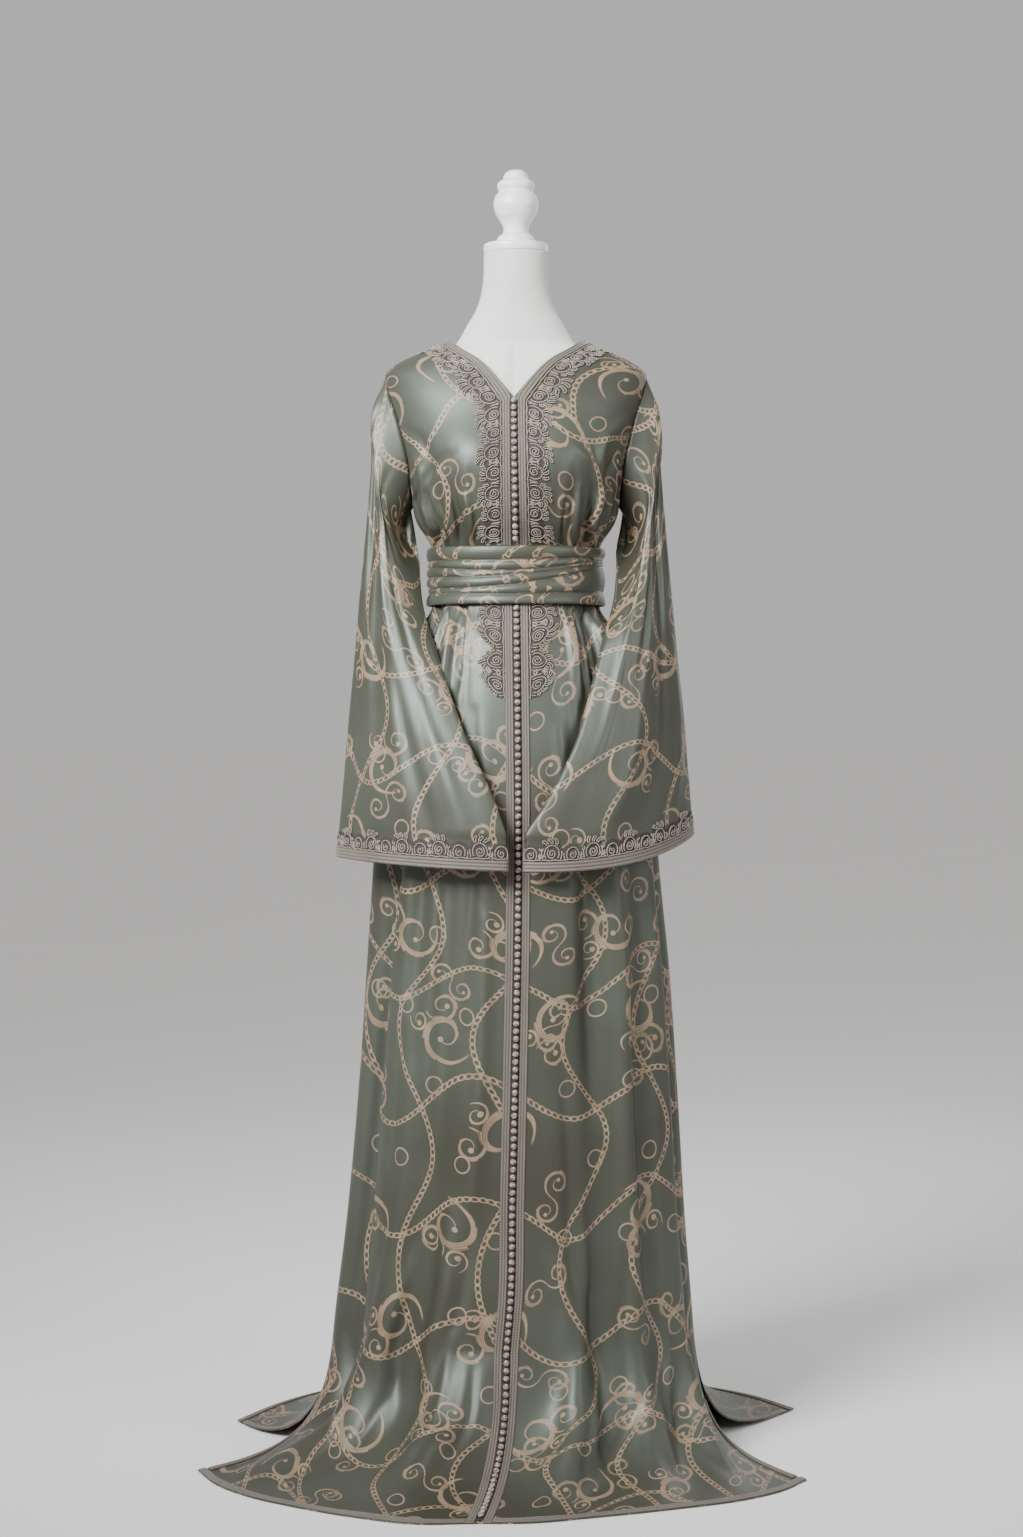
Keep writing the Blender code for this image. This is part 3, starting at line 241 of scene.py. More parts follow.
def scattered(made, u, v, row):
    # places set out in staggered rows, each turned and mirrored by chance, in units of its size
    wide, tall, size, missing, seed = row
    line = (v / tall).floor()
    shifted = u / wide + line * 0.5
    column = shifted.floor()
    index = made.node("ShaderNodeCombineXYZ", {}, {"X": column, "Y": line, "Z": seed})
    chance = made.node("ShaderNodeTexWhiteNoise", {"noise_dimensions": "3D"},
                       {"Vector": index.outputs[0]})
    split = made.node("ShaderNodeSeparateColor", {}, {"Color": chance.outputs["Color"]})
    hand = made.num(split.outputs[0]) - 0.5
    turn = made.num(split.outputs[1]) * (2 * math.pi)
    present = made.num(split.outputs[2]).step(missing - 0.01, missing)
    x = (shifted - column - 0.5) * (wide / size) * hand.math("SIGN", hand)
    y = (v / tall - line - 0.5) * (tall / size)
    cosine, sine = turn.cosine(), turn.sine()
    return x * cosine + y * sine, y * cosine - x * sine, present, pattern["soft"] / size


def scroll(x, y, radius, growth, turns, start, leaf, lobes, soft):
    # an arm that swells from its ball end and tapers to its tail, its outside lobed like a leaf:
    # its mask, and the lines engraved in it
    far = x.length(y).atLeast(0.0001)
    angle = y.turn(x) / (2 * math.pi) + start
    level = (far / radius).log() / math.log(growth) + turns - angle
    whole = level.floor()
    across = level - whole - 0.5
    along = whole + angle
    swell = along.step(0.05, turns * 0.65) * along.step(turns, turns * 0.55)
    lobe = (along * lobes).share().root() * 0.62 + 0.38
    reach = (swell * lobe * leaf + 0.040) * along.step(turns, turns - 0.16) + 0.004
    body = (across - reach).step(soft / radius, 0.0)
    body = body * (across + swell * 0.05 + 0.030).step(-soft / radius, 0.0)
    inside = along.step(-0.02, 0.02) * along.step(turns + 0.02, turns - 0.02)
    line = abs((across / reach * 2.2).share() - 0.5).step(0.22, 0.40) * swell
    ball = radius * growth ** (0.5 - turns)
    atX, atY = ball * math.cos(2 * math.pi * start), -ball * math.sin(2 * math.pi * start)
    knob = (x - atX).length(y - atY).step(0.075 + soft, 0.075)
    return (body * inside).atLeast(knob), line


def plumeMask(made, u, v):
    x, y, present, soft = scattered(made, u, v, pattern["plumes"])
    big, bigLine = scroll(x - 0.16, y - 0.22, 0.50, 3.1, 1.30, 0.05, 0.27, 6.5, soft)
    small, smallLine = scroll(x + 0.50, -0.44 - y, 0.33, 2.8, 1.40, 0.32, 0.24, 5.0, soft)
    hook, _ = scroll(0.34 - x, y + 0.74, 0.22, 2.6, 1.30, 0.62, 0.22, 3.0, soft)
    return big.atLeast(small).atLeast(hook) * present, (bigLine * big).atLeast(smallLine * small)


def curlMask(made, u, v):
    x, y, present, soft = scattered(made, u, v, pattern["curls"])
    hand = y.math("SIGN", y)
    curl, curlLine = scroll(x * hand, abs(y) - 0.62, 0.385, 2.6, 1.45, 0.70, 0.30, 4.0, soft)
    return curl * present, curlLine * curl


def ringMask(made, u, v):
    x, y, present, soft = scattered(made, u, v, pattern["rings"])
    stroke = pattern["ringStroke"] / pattern["rings"][2]
    return abs(x.length(y) - 1.0).step(stroke + soft, stroke) * present


def printMasks(made, flat, u, v):
    slow = made.node("ShaderNodeTexNoise", {}, {"Vector": flat, "Scale": pattern["driftScale"],
                                                "Detail": 0.0})
    split = made.node("ShaderNodeSeparateColor", {}, {"Color": slow.outputs["Color"]})
    bentU = u + (made.num(split.outputs[0]) - 0.5) * pattern["drift"]
    bentV = v + (made.num(split.outputs[1]) - 0.5) * pattern["drift"]
    chain = chainMask(bentU, bentV, pattern["chains"][0])
    chain = chain.atLeast(chainMask(bentV, bentU, pattern["chains"][1]))
    chain = chain.atLeast(ringMask(made, u, v))
    plume, plumeLine = plumeMask(made, bentU, bentV)
    curl, curlLine = curlMask(made, bentV, bentU)
    return chain, plume.atLeast(curl), (plumeLine * plume).atLeast(curlLine * curl)


satin = {
    "deep": (0.043, 0.038, 0.025), "light": (0.066, 0.071, 0.053), "tan": (0.262, 0.166, 0.100),
    "paleTan": (0.345, 0.230, 0.148), "roughness": 0.45, "printRoughness": 0.53,
}


def satinFinish():
    made = Finish("printedSatin", Sheen_Weight=0.02, Sheen_Roughness=0.4, IOR=1.5,
                  Specular_IOR_Level=0.68, Specular_Tint=(0.86, 0.98, 0.96, 1.0),
                  Sheen_Tint=(0.75, 0.88, 0.92, 1.0))
    flat, u, v = made.uv("cloth")
    chain, scrolls, vein = printMasks(made, flat, u, v)
    place = made.place()
    drift = made.noise(place, 3.5, 3.0)
    ground = made.mix(drift.step(0.3, 0.7), satin["deep"], satin["light"])
    worn = made.noise(flat, 900.0, 2.0)
    tan = made.mix(made.noise(flat, 40.0, 3.0).step(0.35, 0.65), satin["tan"], satin["paleTan"])
    ink = chain.atLeast(scrolls - vein * 0.75) * (worn.step(0.15, 0.5) * 0.20 + 0.66)
    colour = made.mix(ink, ground, tan)
    streaks = made.node("ShaderNodeMapping", {}, {"Vector": flat, "Scale": (1.0, 0.06, 1.0)})
    threads = made.noise(streaks.outputs["Vector"], 1400.0, 2.0)
    slubs = made.noise(streaks.outputs["Vector"], 160.0, 3.0)
    rough = (slubs - 0.5) * 0.10 + satin["roughness"]
    rough = rough + ink * (satin["printRoughness"] - satin["roughness"])
    soft = made.bump(made.noise(place, 22.0, 2.0), 0.004, 0.20)
    normal = made.bump(threads, 0.00012, 0.6, soft)
    return made.wear(Base_Color=colour, Roughness=rough, Normal=normal,
                     Metallic=(1.0 - ink) * 0.20)


# Cords: dark and light are the twist's shadow and its silk, groove the painted shade between two
# cords
braidLook = {"dark": (0.070, 0.055, 0.042), "light": (0.225, 0.188, 0.150), "roughness": 0.55,
             "twist": 0.0034, "slant": 0.8, "groove": 0.0038, "grooveShade": 0.88}
embroideryLook = {"dark": (0.095, 0.076, 0.058), "light": (0.440, 0.378, 0.308),
                  "roughness": 0.40, "twist": 0.0026, "slant": 1.0}
buttonLook = {"dark": (0.085, 0.064, 0.048), "light": (0.520, 0.445, 0.362), "roughness": 0.34,
              "twist": 0.0024, "slant": 0.6}
# the colours of the painted shade between cords and between buttons
gapShadeLook = {"dark": (0.022, 0.017, 0.013), "light": (0.055, 0.043, 0.034)}


def cordFinish(name, look):
    # silky twisted cord: slanting stripes from the uv map along the cord
    made = Finish(name, Sheen_Weight=0.30, Sheen_Roughness=0.4, Specular_IOR_Level=0.6)
    flat, u, v = made.uv("thread")
    stripes = ((u * look["slant"] + v) * (2 * math.pi / look["twist"])).sine() * 0.5 + 0.5
    fibres = made.noise(flat, 2200.0, 2.0)
    drift = made.noise(made.place(), 18.0, 3.0)
    share = (stripes * 0.45 + fibres * 0.3 + drift * 0.35).step(0.2, 0.95)
    height = stripes + fibres * 0.4
    if "groove" in look:
        side = abs((u / look["groove"]).share() - 0.5)
        # painted shade: the colour darkens in the groove between two cords
        share = share * (1.0 - side.step(0.24, 0.44) * look["grooveShade"])
        height = height + (1.0 - side.step(0.2, 0.5)) * 1.2
    colour = made.mix(share, look["dark"], look["light"])
    rough = (fibres - 0.5) * 0.25 + look["roughness"]
    return made.wear(Base_Color=colour, Roughness=rough,
                     Normal=made.bump(height, 0.0004, 0.8))


def gapShadeFinish():
    # painted shade: the dark ground seen between cords and between buttons
    made = Finish("paintedShadeGround", Roughness=0.85)
    weave = made.noise(made.place(), 900.0, 3.0)
    return made.wear(Base_Color=made.mix(weave.step(0.3, 0.7), gapShadeLook["dark"], gapShadeLook["light"]),
                     Normal=made.bump(weave, 0.0004, 0.6))


formLook = {"pale": (0.80, 0.775, 0.755), "deep": (0.70, 0.665, 0.640), "weave": 0.0011}
woodLook = {"paint": (0.86, 0.85, 0.84), "worn": (0.74, 0.72, 0.70), "roughness": 0.34}


def formFinish():
    made = Finish("linenCover", Sheen_Weight=0.2, Roughness=0.8)
    flat, u, v = made.uv("cloth")
    k = 2 * math.pi / formLook["weave"]
    weave = (u * k).sine() * (v * k).sine()
    slub = made.noise(flat, 260.0, 3.0)
    drift = made.noise(made.place(), 6.0, 3.0)
    share = (weave * 0.2 + slub * 0.5 + drift * 0.4).step(0.25, 0.75)
    colour = made.mix(share, formLook["deep"], formLook["pale"])
    return made.wear(Base_Color=colour, Normal=made.bump(weave * 0.5 + slub, 0.00025, 0.7))


def woodFinish():
    made = Finish("paintedWood", Coat_Roughness=0.25)
    place = made.place()
    brush = made.node("ShaderNodeMapping", {}, {"Vector": place, "Scale": (1.0, 1.0, 9.0)})
    strokes = made.noise(brush.outputs["Vector"], 30.0, 4.0)
    colour = made.mix(strokes.step(0.35, 0.75), woodLook["paint"], woodLook["worn"])
    rough = woodLook["roughness"] + (strokes - 0.5) * 0.2
    return made.wear(Base_Color=colour, Roughness=rough, Coat_Weight=strokes * 0.15 + 0.1,
                     Normal=made.bump(strokes, 0.0003, 0.35))


def floorFinish():
    made = Finish("studioFloor")
    drift = made.noise(made.place(), 1.5, 2.0)
    low = tuple(0.97 * c for c in studio["floor"])
    return made.wear(Base_Color=made.mix(drift, low, studio["floor"]), Roughness=0.85)


# The garment's form: the same tables as the solids, in metres

def smooth(xs, ys, x):
    xs, ys = np.asarray(xs, float), np.asarray(ys, float)
    x = np.clip(np.asarray(x, float), xs[0], xs[-1])
    slope = np.gradient(ys, xs, axis=0)
    i = np.clip(np.searchsorted(xs, x, side="right") - 1, 0, len(xs) - 2)
    span = xs[i + 1] - xs[i]
    t = (x - xs[i]) / span
    if ys.ndim > 1:
        t, span = t[..., None], span[..., None]
    return ((2 * t**3 - 3 * t**2 + 1) * ys[i] + (t**3 - 2 * t**2 + t) * span * slope[i]
            + (3 * t**2 - 2 * t**3) * ys[i + 1] + (t**3 - t**2) * span * slope[i + 1])


def read(table, name, x):
    return smooth(table["z"], table[name], x)


def ramp(low, high, x):
    t = np.clip((np.asarray(x, float) - low) / (high - low), 0.0, 1.0)
    return t * t * (3 - 2 * t)


def bell(x, halfWidth):
    return np.exp(-((x / halfWidth) ** 2))


def walked(path):
    # the distance along a path from its start to each of its points
    return np.concatenate([[0.0], np.cumsum(np.linalg.norm(np.diff(path, axis=0), axis=1))])


lines = {"neckTop": 1.466, "shoulderTip": 1.425, "neckPoint": 1.381, "armpit": 1.245,
         "sash": 1.194, "sashFoot": 1.112, "backTop": 1.452, "breakLine": 0.16,
         "seamGap": 0.0004, "wall": 0.0016}
bust = {"z": 1.305, "apart": 0.066, "spread": 0.042, "out": 0.009}
sections = {
    "z": [0.00, 0.16, 0.30, 0.50, 0.70, 0.85, 0.95, 1.03, 1.08, 1.110, 1.152, 1.194, 1.222,
          1.262, 1.305, 1.355, 1.405, 1.425, 1.440, 1.452, 1.466],
    "width": [0.252, 0.240, 0.223, 0.205, 0.192, 0.181, 0.167, 0.148, 0.130, 0.1125, 0.1095,
              0.1130, 0.130, 0.140, 0.149, 0.163, 0.173, 0.171, 0.150, 0.122, 0.088],
    "front": [0.205, 0.190, 0.174, 0.162, 0.155, 0.147, 0.137, 0.122, 0.108, 0.094, 0.091,
              0.096, 0.115, 0.125, 0.124, 0.108, 0.088, 0.076, 0.067, 0.057, 0.047],
    "back": [0.215, 0.200, 0.182, 0.168, 0.158, 0.150, 0.141, 0.123, 0.105, 0.087, 0.082,
             0.087, 0.101, 0.109, 0.112, 0.107, 0.092, 0.081, 0.072, 0.062, 0.050],
    "power": [2.0, 2.0, 2.0, 2.0, 2.0, 2.05, 2.1, 2.1, 2.1, 2.1, 2.1, 2.1, 2.1, 2.15, 2.15,
              2.1, 2.0, 1.95, 1.9, 1.9, 1.95],
}
neckline = {"z": [1.381, 1.394, 1.411, 1.426, 1.436, 1.449, 1.466],
            "half": [0.0, 0.0100, 0.0235, 0.0365, 0.0475, 0.0680, 0.0880]}
armhole = {"z": [1.245, 1.262, 1.282, 1.305, 1.330, 1.355, 1.381, 1.405, 1.425],
           "front": [90.0, 80.0, 75.0, 72.0, 71.0, 71.0, 74.0, 80.0, 90.0],
           "back": [90.0, 80.0, 74.0, 71.0, 70.0, 70.0, 74.0, 80.0, 90.0]}
sideDrop = {  # the height a row has at the side, for its height at the middle
    "front": {"z": [0.16, 1.194, 1.226, 1.258, 1.289, 1.312, 1.335, 1.358, 1.381, 1.396, 1.411,
                    1.426, 1.440, 1.452, 1.466],
              "side": [0.16, 1.194, 1.211, 1.228, 1.245, 1.260, 1.275, 1.292, 1.310, 1.330,
                       1.350, 1.370, 1.390, 1.408, 1.425]},
    "back": {"z": [0.16, 1.194, 1.211, 1.228, 1.245, 1.310, 1.350, 1.369, 1.388, 1.405, 1.4220,
                   1.4310, 1.4370, 1.4435, 1.4520],
             "side": [0.16, 1.194, 1.211, 1.228, 1.245, 1.310, 1.350, 1.370, 1.390, 1.408,
                      1.425, 1.4375, 1.4500, 1.4607, 1.4660]},
}
edgeSpread = {"z": [0.000, 1.110, 1.194, 1.358, 1.381, 1.411, 1.466],
              "buttons": [0.0050, 0.0050, 0.0050, 0.0050, 0.0050, 0.0045, 0.0040],
              "braid": [0.0160, 0.0160, 0.0160, 0.0160, 0.0160, 0.0135, 0.0120],
              "middle": [0.036, 0.036, 0.033, 0.034, 0.035, 0.033, 0.030],
              "edge": [0.057, 0.057, 0.051, 0.054, 0.056, 0.052, 0.046]}
gathers = {"cells": {"front": 10, "back": 8}, "side": 0.013,
           "z": [0.930, 0.985, 1.060, 1.085, 1.112, 1.192, 1.215, 1.230, 1.265, 1.300],
           "depth": [0.0, 0.0022, 0.0045, 0.0045, 0.0007, 0.0007, 0.0038, 0.0038, 0.0018, 0.0]}
# long folds: hip angle, floor angle, half width, depth at the hip, depth at the floor
folds = {
    ("front", "right"): [
        (17, 15, 7, 0.0030, 0.0040), (30, 30, 8, -0.0060, -0.0090),
        (47, 48, 8, 0.0060, 0.0110), (62, 63, 8, -0.0220, -0.0260), (80, 80, 7, 0.0040, 0.0050)],
    ("front", "left"): [
        (16, 18, 8, 0.0030, 0.0050), (31, 30, 9, -0.0050, -0.0110), (45, 44, 6, 0.0010, 0.0100),
        (55, 56, 6, -0.0050, -0.0090), (65, 65, 6, 0.0080, 0.0110), (75, 75, 6, -0.0170, -0.0210)],
    ("back", "right"): [
        (12, 12, 8, -0.0080, -0.0130), (27, 27, 8, 0.0070, 0.0100), (43, 43, 8, -0.0130, -0.0180),
        (58, 59, 8, 0.0080, 0.0110), (72, 72, 7, -0.0090, -0.0130)],
    ("back", "left"): [
        (13, 14, 8, -0.0080, -0.0130), (29, 30, 8, 0.0080, 0.0110), (44, 46, 8, -0.0140, -0.0190),
        (60, 61, 8, 0.0080, 0.0110), (74, 74, 7, -0.0070, -0.0100)],
}
foldHeights = {"top": 1.09, "full": 0.86}
leftLean = {"z": [0.0, 0.16, 0.30, 0.45, 0.60, 0.75, 0.90],
            "out": [-0.004, -0.003, 0.003, 0.008, 0.009, 0.004, 0.0]}
frontDrift = {"z": [0.16, 0.22, 0.345, 0.52, 0.70, 0.80, 1.11, 1.381, 1.466],
              "x": [-0.0125, -0.0075, -0.0050, -0.0010, 0.0022, 0.0028, 0.0003, -0.0030, -0.0030]}
hems = {
    ("front", "right"): [(-0.046, -0.394), (-0.124, -0.396), (-0.199, -0.367), (-0.275, -0.323),
                         (-0.336, -0.277), (-0.377, -0.228), (-0.408, -0.162)],
    ("front", "left"): [(-0.046, -0.394), (0.019, -0.392), (0.093, -0.370), (0.192, -0.335),
                        (0.290, -0.290), (0.334, -0.254), (0.368, -0.206)],
    ("back", "right"): [(0.0, 0.350), (-0.100, 0.342), (-0.195, 0.308), (-0.270, 0.255),
                        (-0.330, 0.185), (-0.382, 0.088)],
    ("back", "left"): [(0.0, 0.350), (0.100, 0.344), (0.195, 0.316), (0.272, 0.276),
                       (0.335, 0.226), (0.388, 0.152)],
}
train = {"rows": 61, "slitRow": 19, "flare": 0.010, "shin": 0.040, "sole": 0.010,
         "foot": 0.34, "slitFrom": 0.72, "slitShin": 0.5, "slitSole": 0.4,
         "bend": {("front", "right"): (-0.290, -0.070), ("front", "left"): (0.262, -0.060),
                  ("back", "right"): (-0.306, -0.055), ("back", "left"): (0.280, -0.008)}}
# waves of the cloth on the floor: place at the break, place at the hem, half width, height
waves = {
    "front": [(-0.56, -0.80, 0.08, 0.022), (-0.08, -0.28, 0.12, 0.034), (0.30, 0.15, 0.09, 0.024),
              (0.46, 0.50, 0.07, 0.012), (0.68, 0.74, 0.07, 0.018)],
    "back": [(-0.62, -0.60, 0.10, 0.013), (-0.20, -0.22, 0.11, 0.014), (0.24, 0.26, 0.11, 0.014),
             (0.66, 0.64, 0.10, 0.013)],
}


def sideSign(side):
    return 1.0 if side == "left" else -1.0


def skin(face, side, angle, z, folded=True, inset=0.0):
    angle, z = np.broadcast_arrays(np.asarray(angle, float), np.asarray(z, float))
    turn = np.radians(np.clip(angle, 0.0, 90.0))
    power = 2.0 / read(sections, "power", z)
    width, depth = read(sections, "width", z), read(sections, face, z)
    out = np.full(angle.shape, -float(inset)) if np.isscalar(inset) else -inset
    if folded:
        down = ramp(foldHeights["full"], lines["breakLine"], z)
        pushed = np.zeros(angle.shape)
        for hipAngle, floorAngle, half, hipDepth, floorDepth in folds[(face, side)]:
            middle = hipAngle + (floorAngle - hipAngle) * down
            pushed += (hipDepth + (floorDepth - hipDepth) * down) * bell(angle - middle, half)
        out = out + pushed * ramp(foldHeights["top"], foldHeights["full"], z) * ramp(90, 84, angle)
    across, along = np.sin(turn) ** power, np.maximum(np.cos(turn), 0.0) ** power
    normalX, normalY = across / width, along / depth
    size = np.sqrt(normalX**2 + normalY**2)
    x, y = width * across, depth * along
    if face == "front":
        y = y + bust["out"] * bell(np.abs(x) - bust["apart"], bust["spread"]) * bell(
            z - bust["z"], bust["spread"])
    x, y = x + out * normalX / size, y + out * normalY / size
    if side == "left":
        x = x + read(leftLean, "out", z) * np.sin(turn) ** 2
    drift = read(frontDrift, "x", z) * (1.0 - np.sin(turn)) if face == "front" else 0.0
    return np.stack([sideSign(side) * x + drift, (-1.0 if face == "front" else 1.0) * y, z], -1)


def trainPoint(face, side, share, t):
    share, t = np.broadcast_arrays(np.asarray(share, float), np.asarray(t, float))
    hem = np.array(hems[(face, side)])
    along = walked(hem)
    flat = smooth(along, hem, share * along[-1])
    end = np.concatenate([flat, np.full((*share.shape, 1), lines["wall"])], -1)
    start = skin(face, side, share * 90.0, lines["breakLine"])
    out = start[..., :2] / np.linalg.norm(start[..., :2], axis=-1, keepdims=True)
    first, second = start.copy(), end.copy()
    atSeam = ramp(train["slitFrom"], 1.0, share)
    first[..., :2] += out * train["flare"]
    first[..., 2] = train["shin"] * (1 + (train["slitShin"] - 1) * atSeam)
    knee = start[..., :2] + out * 3 * train["flare"]
    plain = knee + (end[..., :2] - knee) * train["foot"]
    bend = np.array(train["bend"][(face, side)])
    second[..., :2] = plain + (bend - plain) * atSeam[..., None]
    second[..., 2] = train["sole"] * (1 + (train["slitSole"] - 1) * atSeam)
    w = t[..., None]
    p = ((1 - w) ** 3 * start + 3 * (1 - w) ** 2 * w * first + 3 * (1 - w) * w**2 * second
         + w**3 * end)
    lift = np.zeros(t.shape)
    for breakAt, hemAt, half, height in waves[face]:
        lift += height * bell(sideSign(side) * share - breakAt - (hemAt - breakAt) * t, half)
    lift *= np.sin(math.pi * t**0.8) ** 1.2 * ramp(1.0, 0.9, share)
    lying = ramp(0.15, 0.60, t)
    p[..., :2] += out * (lift * (1 - 0.6 * lying))[..., None]
    p[..., 2] += lift * lying
    return p


class Cloth:  # a grid of points on a cloth's outside: its normals, and distances over it
    def __init__(self, points, outward):
        self.points = points
        self.outward = outward
        self.refresh()
        steps = np.linalg.norm(np.diff(points, axis=1), axis=2)
        self.across = np.concatenate([np.zeros((len(points), 1)), np.cumsum(steps, axis=1)], 1)
        steps = np.linalg.norm(np.diff(points, axis=0), axis=2)
        self.down = np.concatenate([np.zeros((1, points.shape[1])), np.cumsum(steps, axis=0)], 0)
        self.up = self.down[-1] - self.down
        self.edgeLength = self.down[:, 0]
        self.upMean = self.up.mean(axis=1)

    def refresh(self):
        du = np.gradient(self.points, axis=1)
        dv = np.gradient(self.points, axis=0)
        normals = np.cross(du, dv)
        normals /= np.linalg.norm(normals, axis=2)[..., None] + 1e-12
        facing = np.einsum("ijk,ijk->ij", normals, self.outward(self.points)).sum()
        self.normals = -normals if facing < 0 else normals

    def push(self, out):
        self.points = self.points + self.normals * out[..., None]
        self.refresh()

    def blend(self, grid, row, col):
        i = np.clip(np.floor(row).astype(int), 0, grid.shape[0] - 2)
        j = np.clip(np.floor(col).astype(int), 0, grid.shape[1] - 2)
        a, b = (row - i)[:, None], (col - j)[:, None]
        return ((1 - a) * ((1 - b) * grid[i, j] + b * grid[i, j + 1])
                + a * ((1 - b) * grid[i + 1, j] + b * grid[i + 1, j + 1]))

    def lifted(self, row, col, lift):
        row, col = np.atleast_1d(row).astype(float), np.atleast_1d(col).astype(float)
        normal = self.blend(self.normals, row, col)
        normal /= np.linalg.norm(normal, axis=1)[:, None]
        return self.blend(self.points, row, col) + normal * np.reshape(lift, (-1, 1)), normal

    def columnAt(self, row, distance):
        low = np.clip(np.floor(row).astype(int), 0, len(self.across) - 2)
        columns = np.arange(self.across.shape[1])
        found = np.empty(len(row))
        for k, (i, d) in enumerate(zip(low, distance)):
            share = row[k] - i
            found[k] = np.interp(d, self.across[i] * (1 - share) + self.across[i + 1] * share,
                                 columns)
        return found


def panelCloth(face, side):
    zTop = lines["neckTop"] if face == "front" else lines["backTop"]
    upper = np.arange(zTop, lines["sash"], -0.0042)
    lower = np.linspace(lines["sash"], lines["breakLine"], 190)
    heights = np.concatenate([upper, lower])
    shares = np.linspace(0.0, 1.0, 181)
    cells = gathers["cells"][face]
    fine = 6 if face == "front" else 5
    rows = []
    for z in heights:
        sideZ = float(read(sideDrop[face], "side", z))
        rise = ramp(0.0, 1.0, shares) if face == "back" else shares
        levels = z + (sideZ - z) * rise
        first = 0.0
        if face == "front" and z > lines["neckPoint"]:
            ratio = read(neckline, "half", z) / read(sections, "width", z)
            first = math.degrees(math.asin(min(1.0, ratio ** (read(sections, "power", z) / 2))))
        atArm = lines["armpit"] < sideZ < lines["shoulderTip"]
        last = float(read(armhole, face, sideZ)) if atArm else 90.0
        rows.append((z, skin(face, side, first + (last - first) * shares, levels)))
    trainSteps = np.linspace(0.0, 1.0, train["rows"] + 1)[1:]
    rows += [(0.0, trainPoint(face, side, shares, t)) for t in trainSteps]
    grid = []
    for z, path in rows:
        along = walked(path)
        inner = []
        if face == "front":
            inner = [0.0] + [float(read(edgeSpread, n, z)) for n in ("buttons", "braid", "middle")]
        start = float(read(edgeSpread, "edge", z)) if face == "front" else 0.0
        marks = np.concatenate([inner, np.linspace(start, along[-1] - gathers["side"], cells + 1),
                                [along[-1]]])
        index = np.linspace(0.0, len(marks) - 1, (len(marks) - 1) * fine + 1)
        at = np.interp(index, np.arange(len(marks)), marks)
        points = np.stack([np.interp(at, along, path[:, k]) for k in range(3)], 1)
        if z > 0:
            cell = index - (len(marks) - 2 - cells)
            uneven = 0.16 * np.sin(2.3 * cell + 0.9) + 0.10 * np.sin(4.1 * cell + 2.0 * z)
            ends = ramp(cells, cells - 1, cell)
            wave = -np.cos(math.pi * (cell + uneven * ramp(0, 1, cell) * ends))
            wave *= ends * (ramp(0, 1, cell) if face == "front" else 1.0)
            deep = np.interp(points[:, 2], gathers["z"], gathers["depth"])
            away = points[:, :2] / np.linalg.norm(points[:, :2], axis=1)[:, None]
            points[:, :2] += away * (wave * deep * (0.8 + 0.3 * np.sin(1.7 * cell)))[:, None]
        grid.append(points)
    points = np.array(grid)
    cloth = Cloth(points, lambda p: p * [1.0, 1.0, 0.0] + [0.0, 0.0, 0.05])
    cloth.level = np.concatenate([heights, lines["breakLine"]
                                  - (cloth.down[len(heights):].mean(1)
                                     - cloth.down[len(heights) - 1].mean())])
    return cloth
